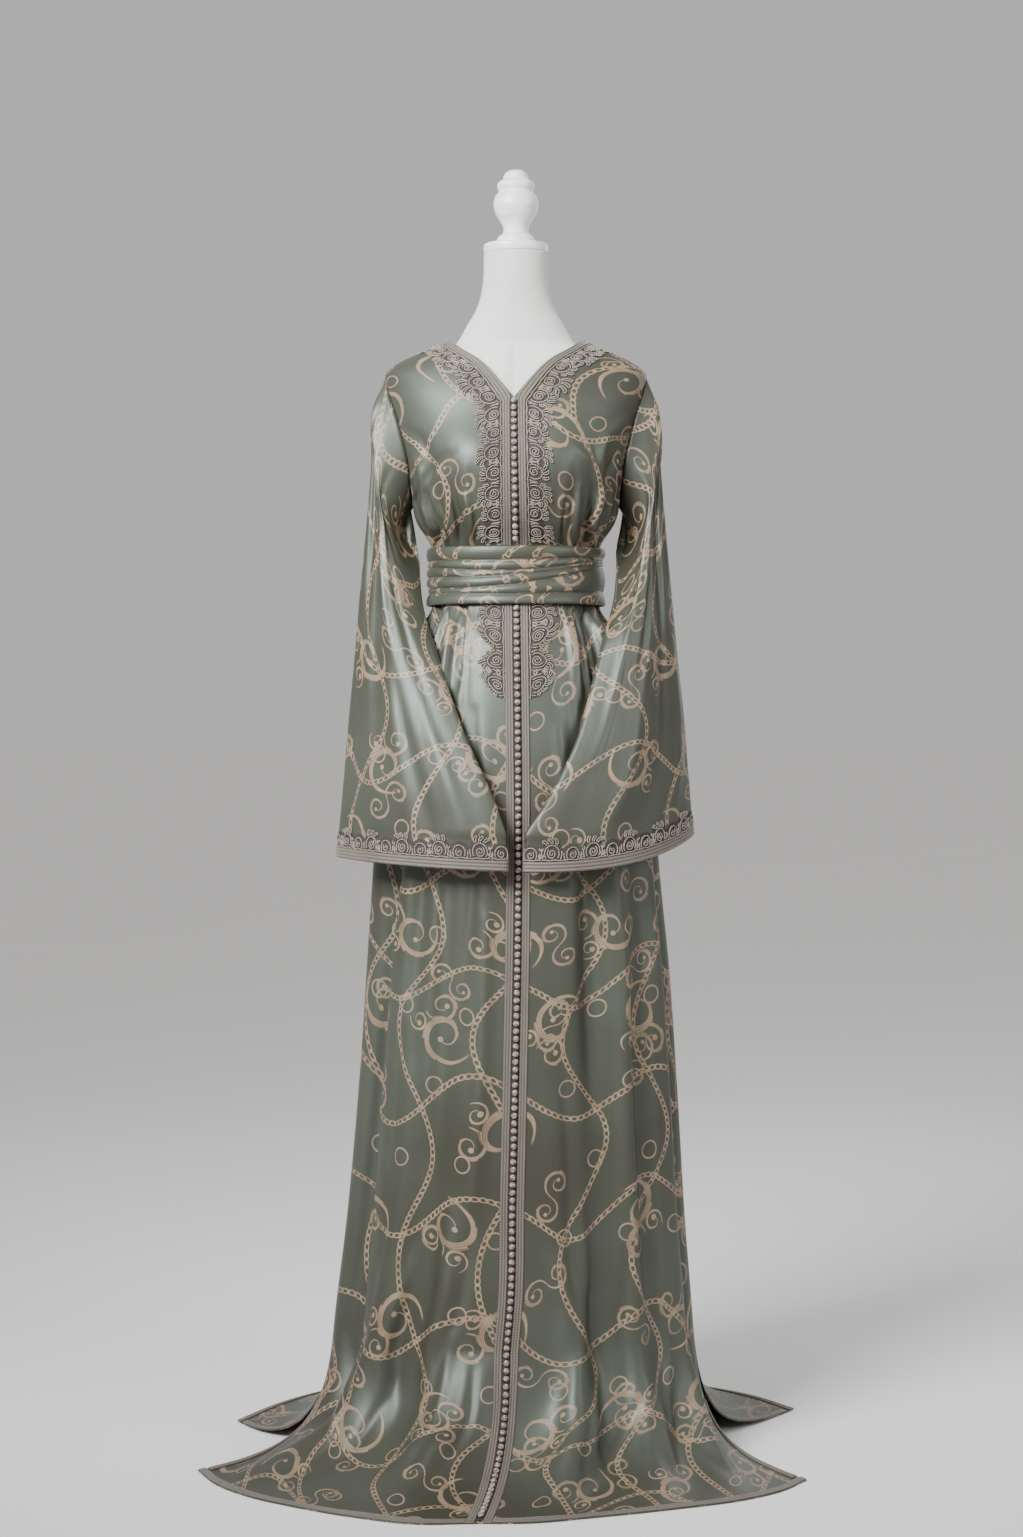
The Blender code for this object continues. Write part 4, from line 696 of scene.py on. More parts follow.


# Creases in millimetres: start (height, distance from the front edge or back middle),
# end, half width, depth (out if above zero), bow. Heights below the break line count down along
# the floor
creases = {
    ("front", "right"): [
        (330, 82, 20, 135, 20, 12, 16), (290, 135, 0, 205, 15, -9, 14),
        (700, 185, 40, 265, 18, 11, 10), (640, 222, 10, 315, 15, -9, 10),
        (930, 130, 520, 150, 17, -8, 6), (140, 40, -60, 85, 9, -6, 10),
        (1262, 66, 1196, 60, 4.5, 6.6, 4), (1285, 92, 1168, 78, 5.5, -6, 4),
        (1252, 112, 1196, 98, 4.5, 7.5, -3), (1290, 142, 1168, 118, 6, -6.8, 6),
        (1272, 150, 1210, 140, 5, 6.6, 0), (1400, 150, 1300, 128, 9, -4.8, 10),
        (1368, 160, 1262, 150, 8, 5.4, 8), (1335, 85, 1300, 150, 12, -3.2, -8),
        (1132, 75, 985, 84, 5.5, -6.4, 3), (1106, 100, 930, 116, 6.5, 6.8, 4),
        (1132, 128, 960, 150, 6, -6.8, 0), (1106, 150, 900, 185, 8, 6.1, 6),
        (960, 60, 560, 78, 11, -6.1, 8), (880, 105, 420, 120, 13, 8.6, -6),
        (700, 40, 300, 55, 12, 6.1, 6), (560, 165, 200, 200, 14, -7.7, 10),
        (330, 50, 60, 120, 10, -4.2, 12), (300, 120, 20, 190, 11, 5.5, -12),
        (250, 200, 10, 280, 10, -4.5, 10), (180, 70, -60, 150, 8, 5, 14),
        (120, 160, -80, 260, 8.5, -4.5, -10), (80, 250, -100, 330, 9, 5, 10),
        (20, 100, -110, 140, 7, -3.5, 8),
    ],
    ("front", "left"): [
        (270, 60, -30, 98, 18, 11, -12), (230, 105, -40, 150, 13, -8, -10),
        (100, 115, -30, 155, 7.5, 5.5, 4), (85, 190, -30, 160, 7.5, -5, 4),
        (90, 225, -40, 260, 8, 5.5, 6), (640, 165, 80, 215, 16, -9, 8),
        (600, 200, 60, 262, 16, 9, 8), (930, 125, 500, 140, 16, 8, -6),
        (1256, 70, 1168, 63, 4.5, -6.4, 3), (1280, 88, 1196, 80, 5, 6.8, -3),
        (1262, 118, 1168, 100, 5, -7.5, 4), (1296, 135, 1198, 120, 6.5, 7.1, 4),
        (1268, 155, 1206, 138, 5, -6.4, 0), (1408, 145, 1310, 132, 8.5, 4.8, 9),
        (1360, 158, 1270, 148, 8, -5.8, 6), (1340, 80, 1292, 140, 12, 2.9, -6),
        (1106, 80, 970, 90, 5, 6.4, 2), (1132, 104, 950, 122, 6, -7.1, 4),
        (1106, 126, 980, 145, 5.5, 6.8, 0), (1105, 152, 920, 180, 7.5, -5.8, 5),
        (940, 55, 600, 70, 12, 6.1, -6), (860, 100, 460, 112, 12, -8.2, 8),
        (660, 150, 300, 172, 13, 7.7, 6), (520, 60, 220, 75, 12, -6.7, -8),
        (340, 90, 60, 80, 10, 5, -12), (280, 160, 40, 180, 10, -4.5, 10),
        (240, 220, 0, 260, 11, 5, -8), (150, 120, -70, 130, 8.5, -4.5, 12),
        (110, 200, -90, 240, 8.5, 4.7, 8), (60, 290, -80, 340, 8.5, -4, 8),
        (10, 60, -120, 70, 7, 3.5, -6),
    ],
    ("back", "right"): [
        (800, 110, 260, 130, 18, -9, 8), (420, 180, 20, 240, 16, 9, 10),
        (220, 60, -60, 80, 15, 8, 10), (1270, 60, 1168, 48, 5.5, -6.4, 3),
        (1284, 98, 1196, 80, 6, 7.1, 4), (1262, 130, 1168, 112, 5, -6.8, 0),
        (1390, 140, 1300, 110, 10, -4.5, 8), (1132, 60, 960, 68, 6, -6.8, 0),
        (1106, 100, 930, 118, 6.5, 7.1, 4), (1132, 140, 950, 165, 6, -6.8, 4),
        (900, 70, 480, 85, 13, 7.7, 8), (700, 160, 300, 185, 14, -7.7, 8),
        (420, 50, 120, 70, 12, -8.2, 6), (240, 140, 0, 180, 10, 4.7, 10),
        (120, 240, -60, 300, 9, -4, 8),
    ],
    ("back", "left"): [
        (760, 115, 240, 140, 18, 9, -8), (440, 175, 30, 225, 16, -9, 10),
        (200, 70, -60, 95, 15, 8, -10), (1262, 56, 1196, 50, 5, 6.4, 3),
        (1290, 92, 1168, 78, 6, -6.8, 4), (1256, 126, 1196, 110, 5, 6.8, 0),
        (1380, 146, 1290, 118, 10, 4.5, 8), (1106, 64, 950, 72, 6, 6.8, 0),
        (1132, 108, 920, 128, 6.5, -7.1, 4), (1106, 146, 960, 168, 6, 6.8, 4),
        (880, 80, 440, 92, 13, -7.7, -8), (640, 150, 260, 180, 14, 7.7, 8),
        (380, 60, 100, 80, 12, 5.1, -6), (220, 150, -20, 190, 10, -4.5, 10),
        (100, 250, -70, 310, 9, 4, 8),
    ],
}


def creaseField(level, distance, rows):
    out = np.zeros(distance.shape)
    for level0, distance0, level1, distance1, half, depth, bow in rows:
        along = np.array([level1 - level0, distance1 - distance0])
        size = np.linalg.norm(along)
        p, q = level - level0, distance - distance0
        t = np.clip((p * along[0] + q * along[1]) / size**2, 0.0, 1.0)
        bend = bow * np.sin(math.pi * t)
        side = (q * along[0] - p * along[1]) / size - bend
        ahead = (p * along[0] + q * along[1]) / size - t * size
        width = half * (0.75 + 0.5 * t)
        out += depth * np.exp(-(side**2 + ahead**2) / width**2) * np.sin(math.pi * (
            0.06 + 0.88 * t)) ** 0.7
    return out


def trimFade(cloth, face):
    # creases die away beside the front edge, where braid and embroidery stiffen the cloth
    inner = ramp(0.018, 0.050, cloth.across) if face == "front" else np.ones(cloth.across.shape)
    outer = ramp(0.0, 0.012, cloth.across[:, -1:] - cloth.across)
    return inner * outer * ramp(0.0, 0.02, cloth.up)


def creasedPanel(face, side):
    cloth = panelCloth(face, side)
    level = np.broadcast_to(cloth.level[:, None], cloth.across.shape)
    out = creaseField(level, cloth.across, np.array(creases[(face, side)]) / 1000)
    floorClear = np.maximum(cloth.points[..., 2] - lines["wall"], 0.0)
    out = np.where(level < lines["breakLine"], np.maximum(out, -0.7 * floorClear), out)
    cloth.push(out * trimFade(cloth, face))
    return cloth


# Meshes

def makeObject(name, points, faces, material, uvs=None, uvName="cloth"):
    mesh = bpy.data.meshes.new(name)
    mesh.from_pydata(np.asarray(points).tolist(), [], np.asarray(faces).tolist()
                     if not isinstance(faces, list) else faces)
    if uvs is not None:
        layer = mesh.uv_layers.new(name=uvName)
        index = np.empty(len(mesh.loops), np.int64)
        mesh.loops.foreach_get("vertex_index", index)
        values = uvs[index] if len(uvs) == len(points) else uvs
        layer.uv.foreach_set("vector", values.astype(np.float32).ravel())
    mesh.shade_smooth()
    mesh.materials.append(material)
    made = bpy.data.objects.new(name, mesh)
    bpy.context.scene.collection.objects.link(made)
    return made


def gridFaces(rows, columns, closed=False):
    i, j = np.meshgrid(np.arange(rows - 1), np.arange(columns if closed else columns - 1),
                       indexing="ij")
    a = (i * columns + j).ravel()
    b = (i * columns + (j + 1) % columns).ravel()
    return np.stack([a, b, b + columns, a + columns], 1)


def clothObject(name, cloth, uvs, material, thickness=0.0010, closed=False):
    # a thin shell; on a closed tube the cloth's last column is its first one again
    points, normals = [g[:, :-1] if closed else g for g in (cloth.points, cloth.normals)]
    rows, columns = points.shape[:2]
    faces = gridFaces(rows, columns, closed)
    flat = points.reshape(-1, 3)
    corners = flat[faces]
    facing = np.cross(corners[:, 2] - corners[:, 0], corners[:, 3] - corners[:, 1])
    i, j = np.meshgrid(np.arange(rows - 1), np.arange(uvs.shape[1] - 1), indexing="ij")
    cornerUvs = np.stack([uvs[i, j], uvs[i, j + 1], uvs[i + 1, j + 1], uvs[i + 1, j]], 2)
    cornerUvs = cornerUvs.reshape(-1, 4, 2)
    if np.einsum("ij,ij->", facing, normals.reshape(-1, 3)[faces[:, 0]]) < 0:
        faces, cornerUvs = faces[:, ::-1], cornerUvs[:, ::-1]
    made = makeObject(name, flat, faces, material, cornerUvs.reshape(-1, 2))
    wall = made.modifiers.new("wall", "SOLIDIFY")
    wall.thickness, wall.offset = thickness, -1.0
    return made


def tubeFaces(rows, columns, turned=False):
    # a closed tube's faces, with one more at each end
    last = (rows - 1) * columns
    ends = [tuple(range(columns - 1, -1, -1)), tuple(range(last, last + columns))]
    faces = [tuple(f) for f in gridFaces(rows, columns, True)] + ends
    return [f[::-1] for f in faces] if turned else faces


def ride(made, slot, *replaced):
    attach(made, "root")
    if replaced:
        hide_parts(*replaced)


# the second finish is the painted shade of the dark ground between cords
class Pile:  # many small closed shapes that become one mesh, the ground's faces in a second finish
    def __init__(self):
        self.points, self.faces, self.uvs, self.finish, self.count = [], [], [], [], 0

    def add(self, points, faces, uvs, finish=0):
        self.points.append(points)
        self.faces += [tuple(int(k) + self.count for k in face) for face in faces]
        self.uvs.append(uvs)
        self.finish += [finish] * len(faces)
        self.count += len(points)

    def build(self, name, *materials):
        made = makeObject(name, np.concatenate(self.points), self.faces, materials[0],
                          np.concatenate(self.uvs), "thread")
        for material in materials[1:]:
            made.data.materials.append(material)
        made.data.polygons.foreach_set("material_index", self.finish)
        return made


def tube(pile, centre, normal, radius, sides, finish=0):
    # a cord along centre: its section stands on the cloth's normal
    tangent = np.gradient(centre, axis=0)
    tangent /= np.linalg.norm(tangent, axis=1)[:, None] + 1e-12
    sideways = np.cross(tangent, normal)
    sideways /= np.linalg.norm(sideways, axis=1)[:, None] + 1e-12
    upright = np.cross(sideways, tangent)
    turn = 2 * math.pi * (np.arange(sides) + 0.5) / sides
    radius = np.broadcast_to(radius, len(centre))
    ring = (np.cos(turn)[None, :, None] * sideways[:, None]
            + np.sin(turn)[None, :, None] * upright[:, None]) * radius[:, None, None]
    points = (centre[:, None] + ring).reshape(-1, 3)
    along = walked(centre)
    uvs = np.stack([np.broadcast_to(turn * 0.0007, (len(centre), sides)),
                    np.broadcast_to(along[:, None], (len(centre), sides))], -1).reshape(-1, 2)
    pile.add(points, tubeFaces(len(centre), sides), uvs, finish)


# Braid: flat bands of three rounded cords, laid along an edge of the cloth
braid = {"cords": 3, "thick": 0.0016, "foot": 0.0003, "steps": 17, "wide": 0.0125,
         "inset": 0.0006, "slitEnd": 0.0132}


def braidBand(pile, low, high, lowNormal, highNormal):
    # low and high are the band's two edges, point by point, on the cloth
    share = np.linspace(0.0, 1.0, braid["steps"])
    rise = np.abs(np.sin(math.pi * braid["cords"] * share)) ** 0.6
    lift = np.concatenate([braid["foot"] + braid["thick"] * (0.35 + 0.65 * rise),
                           [braid["foot"] * 0.5, braid["foot"] * 0.5]])
    place = np.concatenate([share, [1.0, 0.0]])
    base = low[:, None] * (1 - place)[None, :, None] + high[:, None] * place[None, :, None]
    normal = (lowNormal[:, None] * (1 - place)[None, :, None]
              + highNormal[:, None] * place[None, :, None])
    normal /= np.linalg.norm(normal, axis=2)[..., None]
    points = (base + normal * lift[None, :, None]).reshape(-1, 3)
    columns = len(place)
    corners = points[gridFaces(2, columns, True)[0]]
    facing = np.cross(corners[2] - corners[0], corners[3] - corners[1])
    along = walked(low)
    uvs = np.stack(np.broadcast_arrays(place * braid["cords"] * braidLook["groove"],
                                       along[:, None]), -1).reshape(-1, 2)
    pile.add(points, tubeFaces(len(low), columns, np.dot(facing, normal[0, 0]) < 0), uvs)


def every(values, step):
    return np.linspace(values[0], values[-1], max(4, int(abs(values[-1] - values[0]) / step)))


def frontBraid(side, cloth):
    # from the shoulder along the neckline, then down beside the buttons to the hem
    rows = every((0, len(cloth.level) - 1.0), 0.75)
    level = np.interp(rows, np.arange(len(cloth.level)), cloth.level)
    turnDown = ramp(lines["neckPoint"] + 0.010, lines["neckPoint"] - 0.008, level)
    z = np.clip(level, 0.0, lines["neckTop"])
    inner = 0.0005 + (read(edgeSpread, "buttons", z) - 0.0005) * turnDown
    outer = read(edgeSpread, "braid", z) - 0.0003
    low, lowNormal = cloth.lifted(rows, cloth.columnAt(rows, inner), 0.0)
    high, highNormal = cloth.lifted(rows, cloth.columnAt(rows, outer), 0.0)
    pile = Pile()
    braidBand(pile, low, high, lowNormal, highNormal)
    ride(pile.build(f"frontBraid_{side}", braidMaterial), "braid", f"front_braid_{side}")


def hemBand(pile, cloth, columns, width=braid["wide"]):
    rowIndex = np.arange(len(cloth.up))
    near, far = [], []
    for c in columns:
        j = min(int(c), cloth.up.shape[1] - 2)
        up = cloth.up[:, j] * (1 - (c - j)) + cloth.up[:, j + 1] * (c - j)
        near.append(np.interp(-braid["inset"], -up, rowIndex))
        far.append(np.interp(-width, -up, rowIndex))
    low, lowNormal = cloth.lifted(np.array(near), columns, 0.0)
    high, highNormal = cloth.lifted(np.array(far), columns, 0.0)
    braidBand(pile, low, high, lowNormal, highNormal)


def sideBand(pile, cloth, rows, atStart=False):
    length = np.interp(rows, np.arange(len(cloth.across)), cloth.across[:, -1])
    near, far = [np.full(len(rows), width) if atStart else length - width
                 for width in (braid["inset"], braid["wide"])]
    low, lowNormal = cloth.lifted(rows, cloth.columnAt(rows, near), 0.0)
    high, highNormal = cloth.lifted(rows, cloth.columnAt(rows, far), 0.0)
    braidBand(pile, low, high, lowNormal, highNormal)


def slitRows(cloth):
    # the slit's braid starts a third of the way down the train and ends above the hem's braid
    first = len(cloth.level) - train["rows"] + train["slitRow"]
    last = float(np.interp(-braid["slitEnd"], -cloth.upMean, np.arange(len(cloth.upMean))))
    return every((first, last), 0.8)


# Couched-cord embroidery: coils, fans and a running double line, cell by cell, in metres
cords = {"radius": 0.00084, "lift": 0.0012, "step": 0.0016, "sides": 4, "pitch": 0.0033}


def coilStroke(x, y, radius, turns, start, hand):
    angle = np.linspace(0.0, 2 * math.pi * turns, max(8, int(turns * 14)))
    size = radius * (1 - 0.90 * angle / angle[-1])
    return np.stack([x + size * np.cos(start + hand * angle),
                     y + 1.1 * size * np.sin(start + hand * angle)], 1)


def arcStroke(x, y, radius, start, end):
    angle = np.radians(np.linspace(start, end, 10))
    return np.stack([x + radius * np.cos(angle), y + 1.1 * radius * np.sin(angle)], 1)


def fingerStroke(x, y, angle, inner, outer, bow):
    # one narrow loop of a fan: out, round its tip and back
    half = 0.5 * cords["pitch"]
    out = np.linspace(0.0, 1.0, 6)
    tip = np.linspace(math.pi / 2, -math.pi / 2, 5)[1:-1]
    along = np.concatenate([out, 1.0 + 0 * tip, out[::-1]])
    reach = inner + (outer - inner) * along
    spread = 0.55 + 0.75 * along
    side = np.concatenate([0 * out + half, half * np.sin(tip), 0 * out - half]) * spread
    reach[len(out):len(out) + 3] += half * np.cos(tip)
    bent = angle + bow * (along - 0.3) ** 2
    return np.stack([x + reach * np.cos(bent) - side * np.sin(bent),
                     y + reach * np.sin(bent) + side * np.cos(bent)], 1)


def cellStrokes(width, height, hand):
    # one cell of the border, x along the edge and y out from the braid: a coiled rose by the
    # braid, arcs round it, and a fan of loops beyond
    pitch = cords["pitch"]
    rose = min(0.27 * width, 0.22 * height)
    x, y = 0.5 * width, 0.06 * height + rose * 1.15
    strokes = [coilStroke(x, y, rose, rose / pitch, 2.2, 1)]
    strokes += [arcStroke(x, y, rose + pitch, -35, 215)]
    strokes += [arcStroke(x, y, rose + 2 * pitch, end, end + turn)
                for end, turn in ((-30, 42), (168, 42))]
    inner = rose + 1.7 * pitch
    count = max(5, round(math.radians(160) * (inner + pitch) / (1.75 * pitch)))
    for k in range(count):
        angle = math.radians(10 + 160 * k / (count - 1))
        limit = (0.5 * width + 0.0004) / max(0.05, abs(math.cos(angle)))
        longer = 0.93 if k % 2 else 1.0
        outer = min(limit, (height - y - 0.0008) * (0.74 + 0.26 * math.sin(angle)) * longer)
        if outer - inner > 1.2 * pitch:
            strokes.append(fingerStroke(x, y, angle, inner, outer, 0.35))
    small = 0.45 * pitch + 0.07 * width
    strokes.append(coilStroke(0.0, 0.10 * height + small, small, small / pitch, 0.4, -1))
    strokes.append(coilStroke(0.0, 0.10 * height + 3.4 * small, 0.8 * small, small / pitch, 2.4, 1))
    edge = np.linspace(0.0, width, 12)
    strokes.append(np.stack([edge, 0.0006 + 0.0005 * np.sin(4 * math.pi * edge / width)], 1))
    return [np.stack([x + hand * (s[:, 0] - x), s[:, 1]], 1) for s in strokes]


def ground(pile, rows, outline, toCloth):
    # the scalloped sheet of painted shade under the cords: rows along the edge, outline its reach
    # at each row
    share = np.linspace(0.0, 1.0, 5)
    path = np.stack([np.repeat(rows, len(share)), (outline[:, None] * share).ravel()], 1)
    centre, normal = toCloth(path)
    low = centre - normal * (cords["lift"] - 0.0001)
    high = centre - normal * (cords["lift"] - 0.0004)
    faces = gridFaces(len(rows), len(share))
    points = np.concatenate([high, low])
    corners = high[faces[len(faces) // 2]]
    facing = np.dot(np.cross(corners[2] - corners[0], corners[3] - corners[1]), normal[0])
    top = faces if facing > 0 else faces[:, ::-1]
    under = top[:, ::-1] + len(high)
    pile.add(points, [tuple(f) for f in np.concatenate([top, under])],
             np.concatenate([path, path]), 1)


def scallop(place, width):
    # how far the ground reaches over one cell, as a share of the cell's height
    return 0.60 + 0.34 * np.abs(np.sin(math.pi * place / width)) ** 0.7


def layStrokes(pile, strokes, toCloth):
    for stroke in strokes:
        along = walked(stroke)
        at = np.linspace(0.0, along[-1], max(4, int(along[-1] / cords["step"]) + 1))
        path = np.stack([np.interp(at, along, stroke[:, k]) for k in (0, 1)], 1)
        centre, normal = toCloth(path)
        tube(pile, centre, normal, cords["radius"], cords["sides"])


def border(pile, cloth, marks, innerAt, outerAt, uneven=(1.0,)):
    # one cell between each two lengths down the front edge; innerAt and outerAt give the band
    rowIndex = np.arange(len(cloth.edgeLength))

    def toCloth(path):
        row = np.interp(path[:, 0], cloth.edgeLength, rowIndex)
        low, high = innerAt(path[:, 0]), outerAt(path[:, 0])
        distance = low + (high - low) * path[:, 1]
        return cloth.lifted(row, cloth.columnAt(row, distance), cords["lift"])

    for k, (start, end) in enumerate(zip(marks, marks[1:])):
        width = end - start
        tall = float(outerAt(0.5 * (start + end)) - innerAt(0.5 * (start + end)))
        share = uneven[k % len(uneven)]
        for stroke in cellStrokes(width, tall * share, 1 if k % 2 else -1):
            layStrokes(pile, [stroke], lambda path: toCloth(path * [1, 1 / tall] + [start, 0]))
    rows = np.arange(marks[0], marks[-1], 0.0016)
    cell = np.clip(np.searchsorted(marks, rows, side="right") - 1, 0, len(marks) - 2)
    marks = np.asarray(marks)
    outline = scallop(rows - marks[cell], marks[cell + 1] - marks[cell])
    ground(pile, rows, outline * np.array(uneven)[cell % len(uneven)], toCloth)


skirtLobes = {"z": [0.984, 0.996, 1.021, 1.050, 1.067, 1.112],
              "reach": [0.028, 0.042, 0.056, 0.042, 0.056, 0.048]}


def frontEmbroidery(side, cloth):
    def lengthAt(z):
        return float(np.interp(-z, -cloth.level, cloth.edgeLength))

    def levelAt(s):
        return np.interp(s, cloth.edgeLength, cloth.level)

    def innerAt(s):
        return read(edgeSpread, "braid", levelAt(s)) + 0.0010

    pile = Pile()
    end = lengthAt(lines["sash"] + 0.002)
    border(pile, cloth, np.linspace(0.003, end, round(end / 0.0285) + 1), innerAt,
           lambda s: read(edgeSpread, "edge", levelAt(s)) + 0.001, (1.0, 0.84, 0.95, 0.80))
    ride(pile.build(f"bodiceEmbroidery_{side}", embroideryMaterial, gapShadeMaterial), "embroidery",
         f"bodice_embroidery_{side}")
    pile = Pile()
    border(pile, cloth, [lengthAt(z) for z in (1.112, 1.082, 1.050, 1.019, 0.986)], innerAt,
           lambda s: read(skirtLobes, "reach", levelAt(s)))
    ride(pile.build(f"skirtEmbroidery_{side}", embroideryMaterial, gapShadeMaterial), "embroidery",
         f"skirt_embroidery_{side}")


# Knot buttons and their loops between the two front edges
buttons = {"pitch": 0.0098, "radius": 0.0039, "lift": 0.0036, "sides": 14, "rings": 9,
           "loop": 0.0005, "strip": 0.0058, "stripLift": 0.0003, "stripThick": 0.0004,
           # a loop's path in millimetres: sideways from the middle, along the edge, off the cloth
           "path": [(5.6, -3.4, 0.9), (4.6, -2.6, 1.2), (3.6, -1.6, 1.6), (3.2, 0.0, 1.9),
                    (3.6, 1.6, 1.6), (4.6, 2.6, 1.2), (5.6, 3.4, 0.9)]}


def knotBall():
    turn = 2 * math.pi * np.arange(buttons["sides"]) / buttons["sides"]
    tilt = np.linspace(0.0, math.pi, buttons["rings"] + 2)[1:-1]
    tilts, turns = np.meshgrid(tilt, turn, indexing="ij")
    ridges = (np.abs(np.sin(2 * turns + 2.4 * tilts)) * 0.6
              + np.abs(np.sin(3 * turns - 3 * tilts)) * 0.4)
    radius = 0.86 + 0.16 * ridges
    points = np.stack([radius * np.sin(tilts) * np.cos(turns),
                       radius * np.sin(tilts) * np.sin(turns),
                       0.92 * radius * np.cos(tilts)], -1).reshape(-1, 3)
    uvs = np.stack([turns * 0.0012, tilts * 0.0016], -1).reshape(-1, 2)
    return points, tubeFaces(len(tilt), buttons["sides"], True), uvs


def makeButtons(name, node, left, right, top, bottom):
    start = float(np.interp(-top, -left.level, left.edgeLength))
    end = float(np.interp(-bottom, -left.level, left.edgeLength))
    count = int((end - start) / buttons["pitch"])
    ball, ballFaces, ballUvs = knotBall()
    pile = Pile()
    rowIndex = np.arange(len(left.edgeLength))

    def at(length, distance, lift):
        row = np.interp(length, left.edgeLength, rowIndex)
        cloth = left if distance >= 0 else right
        return cloth.lifted(np.array([row]), cloth.columnAt(np.array([row]),
                                                           np.array([abs(distance)])), lift)

    # a dark strip of painted shade between the two front edges, behind the buttons
    rows = np.interp(np.arange(start, end, 0.005), left.edgeLength, rowIndex)
    edge = np.full(len(rows), buttons["strip"])
    sides = [cloth.lifted(rows, cloth.columnAt(rows, edge), buttons["stripLift"])
             for cloth in (right, left)]
    strip = np.stack([sides[0][0], 0.5 * (sides[0][0] + sides[1][0]), sides[1][0]], 1)
    out = (sides[0][1] + sides[1][1])[:, None] * 0.5
    strip = np.stack([strip, strip + out * buttons["stripThick"]], 1).reshape(-1, 6, 3)
    strip = strip[:, [0, 1, 2, 5, 4, 3]]
    pile.add(strip.reshape(-1, 3), [tuple(f) for f in gridFaces(len(rows), 6, True)],
             np.zeros((strip.size // 3, 2)), 1)
    reach, offset, lift = np.array(buttons["path"]).T * 0.001
    for k in range(count):
        length = start + (k + 0.5) * buttons["pitch"]
        (a, normalA), (b, normalB) = at(length, 0.0004, 0.0), at(length, -0.0004, 0.0)
        centre, normal = (a + b)[0] / 2, (normalA + normalB)[0]
        normal /= np.linalg.norm(normal)
        ahead = at(length + 0.003, 0.0004, 0.0)[0][0] - a[0]
        ahead /= np.linalg.norm(ahead)
        sideways = np.cross(normal, ahead)
        spin = 0.9 * k
        first = math.cos(spin) * ahead + math.sin(spin) * sideways
        second = np.cross(normal, first)
        points = centre + normal * buttons["lift"] + buttons["radius"] * (
            ball[:, :1] * first + ball[:, 1:2] * second + ball[:, 2:] * normal)
        pile.add(points, ballFaces, ballUvs)
        for sign in (-1.0, 1.0):
            loop = centre + (sign * reach[:, None] * sideways + offset[:, None] * ahead
                             + lift[:, None] * normal)
            # the loops take the painted-shade finish
            tube(pile, loop, np.broadcast_to(normal, loop.shape), buttons["loop"], 4, 1)
    ride(pile.build(name, buttonMaterial, gapShadeMaterial), "buttons", node)


# Sleeves in millimetres: outer edge, inner edge, how far apart the layers hang, bow, fold
sleeveColumns = ("outerX", "outerY", "outerZ", "innerX", "innerY", "innerZ", "apart", "bow",
                 "fold")
sleeves = {
    "right": [
        (182, -4, 1380, 149, -20, 1212, 74, 0, 2), (182, -8, 1310, 136, -42, 1160, 58, 2, 4),
        (190, -12, 1222, 125, -66, 1105, 46, 6, 4.5),
        (201, -15, 1130, 104.5, -98, 1050, 38, 12, 3.5),
        (210, -18, 1045, 85, -126, 994, 31, 18, 2.5), (219, -22, 960, 64, -150, 940, 28, 24, 2),
        (227, -28, 875, 36, -170, 880, 27, 29, 1.5),
        (231.5, -31.5, 830, 14, -181, 824, 27, 31, 1),
        (232.5, -32, 820, 12.4, -181, 812, 27, 31, 1),
        (234.5, -34, 797, 11.8, -182, 786, 27, 31, 0.5),
        (236, -35, 783, 11.6, -183, 771, 27, 31, 0)],
    "left": [
        (181, -4, 1380, 152, -18, 1212, 74, 0, 2), (182, -8, 1310, 142, -36, 1160, 58, 2, 4),
        (190, -12, 1222, 131, -60, 1110, 46, 6, 4.5),
        (200, -15, 1130, 113, -94, 1060, 38, 12, 3.5),
        (210, -18, 1045, 95, -122, 994, 31, 18, 2.5), (219, -22, 970, 77, -146, 935, 28, 24, 2),
        (226, -28, 895, 44, -168, 868, 27, 29, 1.5),
        (229.5, -31.5, 859, 13, -181, 822, 27, 31, 1),
        (230.2, -32, 849, 11.6, -181, 810, 27, 31, 1),
        (231.8, -34, 826, 11, -182, 785, 27, 31, 0.5),
        (233, -35, 812, 10.5, -183, 770, 27, 31, 0)],
}
sleeve = {"sides": 96, "rows": 118, "sag": {"right": 0.0, "left": 0.012},
          "armRows": [1.408, 1.390, 1.370, 1.350, 1.330, 1.310, 1.292, 1.275, 1.260]}


def armRing(side):
    # the armhole's edge on the body, then evenly along it for every turn of the sleeve
    tip = 0.5 * (skin("front", side, 90.0, lines["shoulderTip"])
                 + skin("back", side, 90.0, lines["shoulderTip"]))
    pit = 0.5 * (skin("front", side, 90.0, lines["armpit"])
                 + skin("back", side, 90.0, lines["armpit"]))
    front = [skin("front", side, read(armhole, "front", z), z) for z in sleeve["armRows"]]
    back = [skin("back", side, read(armhole, "back", z), z) for z in reversed(sleeve["armRows"])]
    ring = np.array([tip, *front, pit, *back])
    count = len(ring)
    wrapped = np.concatenate([ring[-3:], ring, ring[:4]])
    at = np.linspace(0.0, count, sleeve["sides"], endpoint=False)
    ring = smooth(np.arange(-3, count + 4), wrapped, at)
    return ring + [sideSign(side) * lines["seamGap"], 0.0, 0.0]


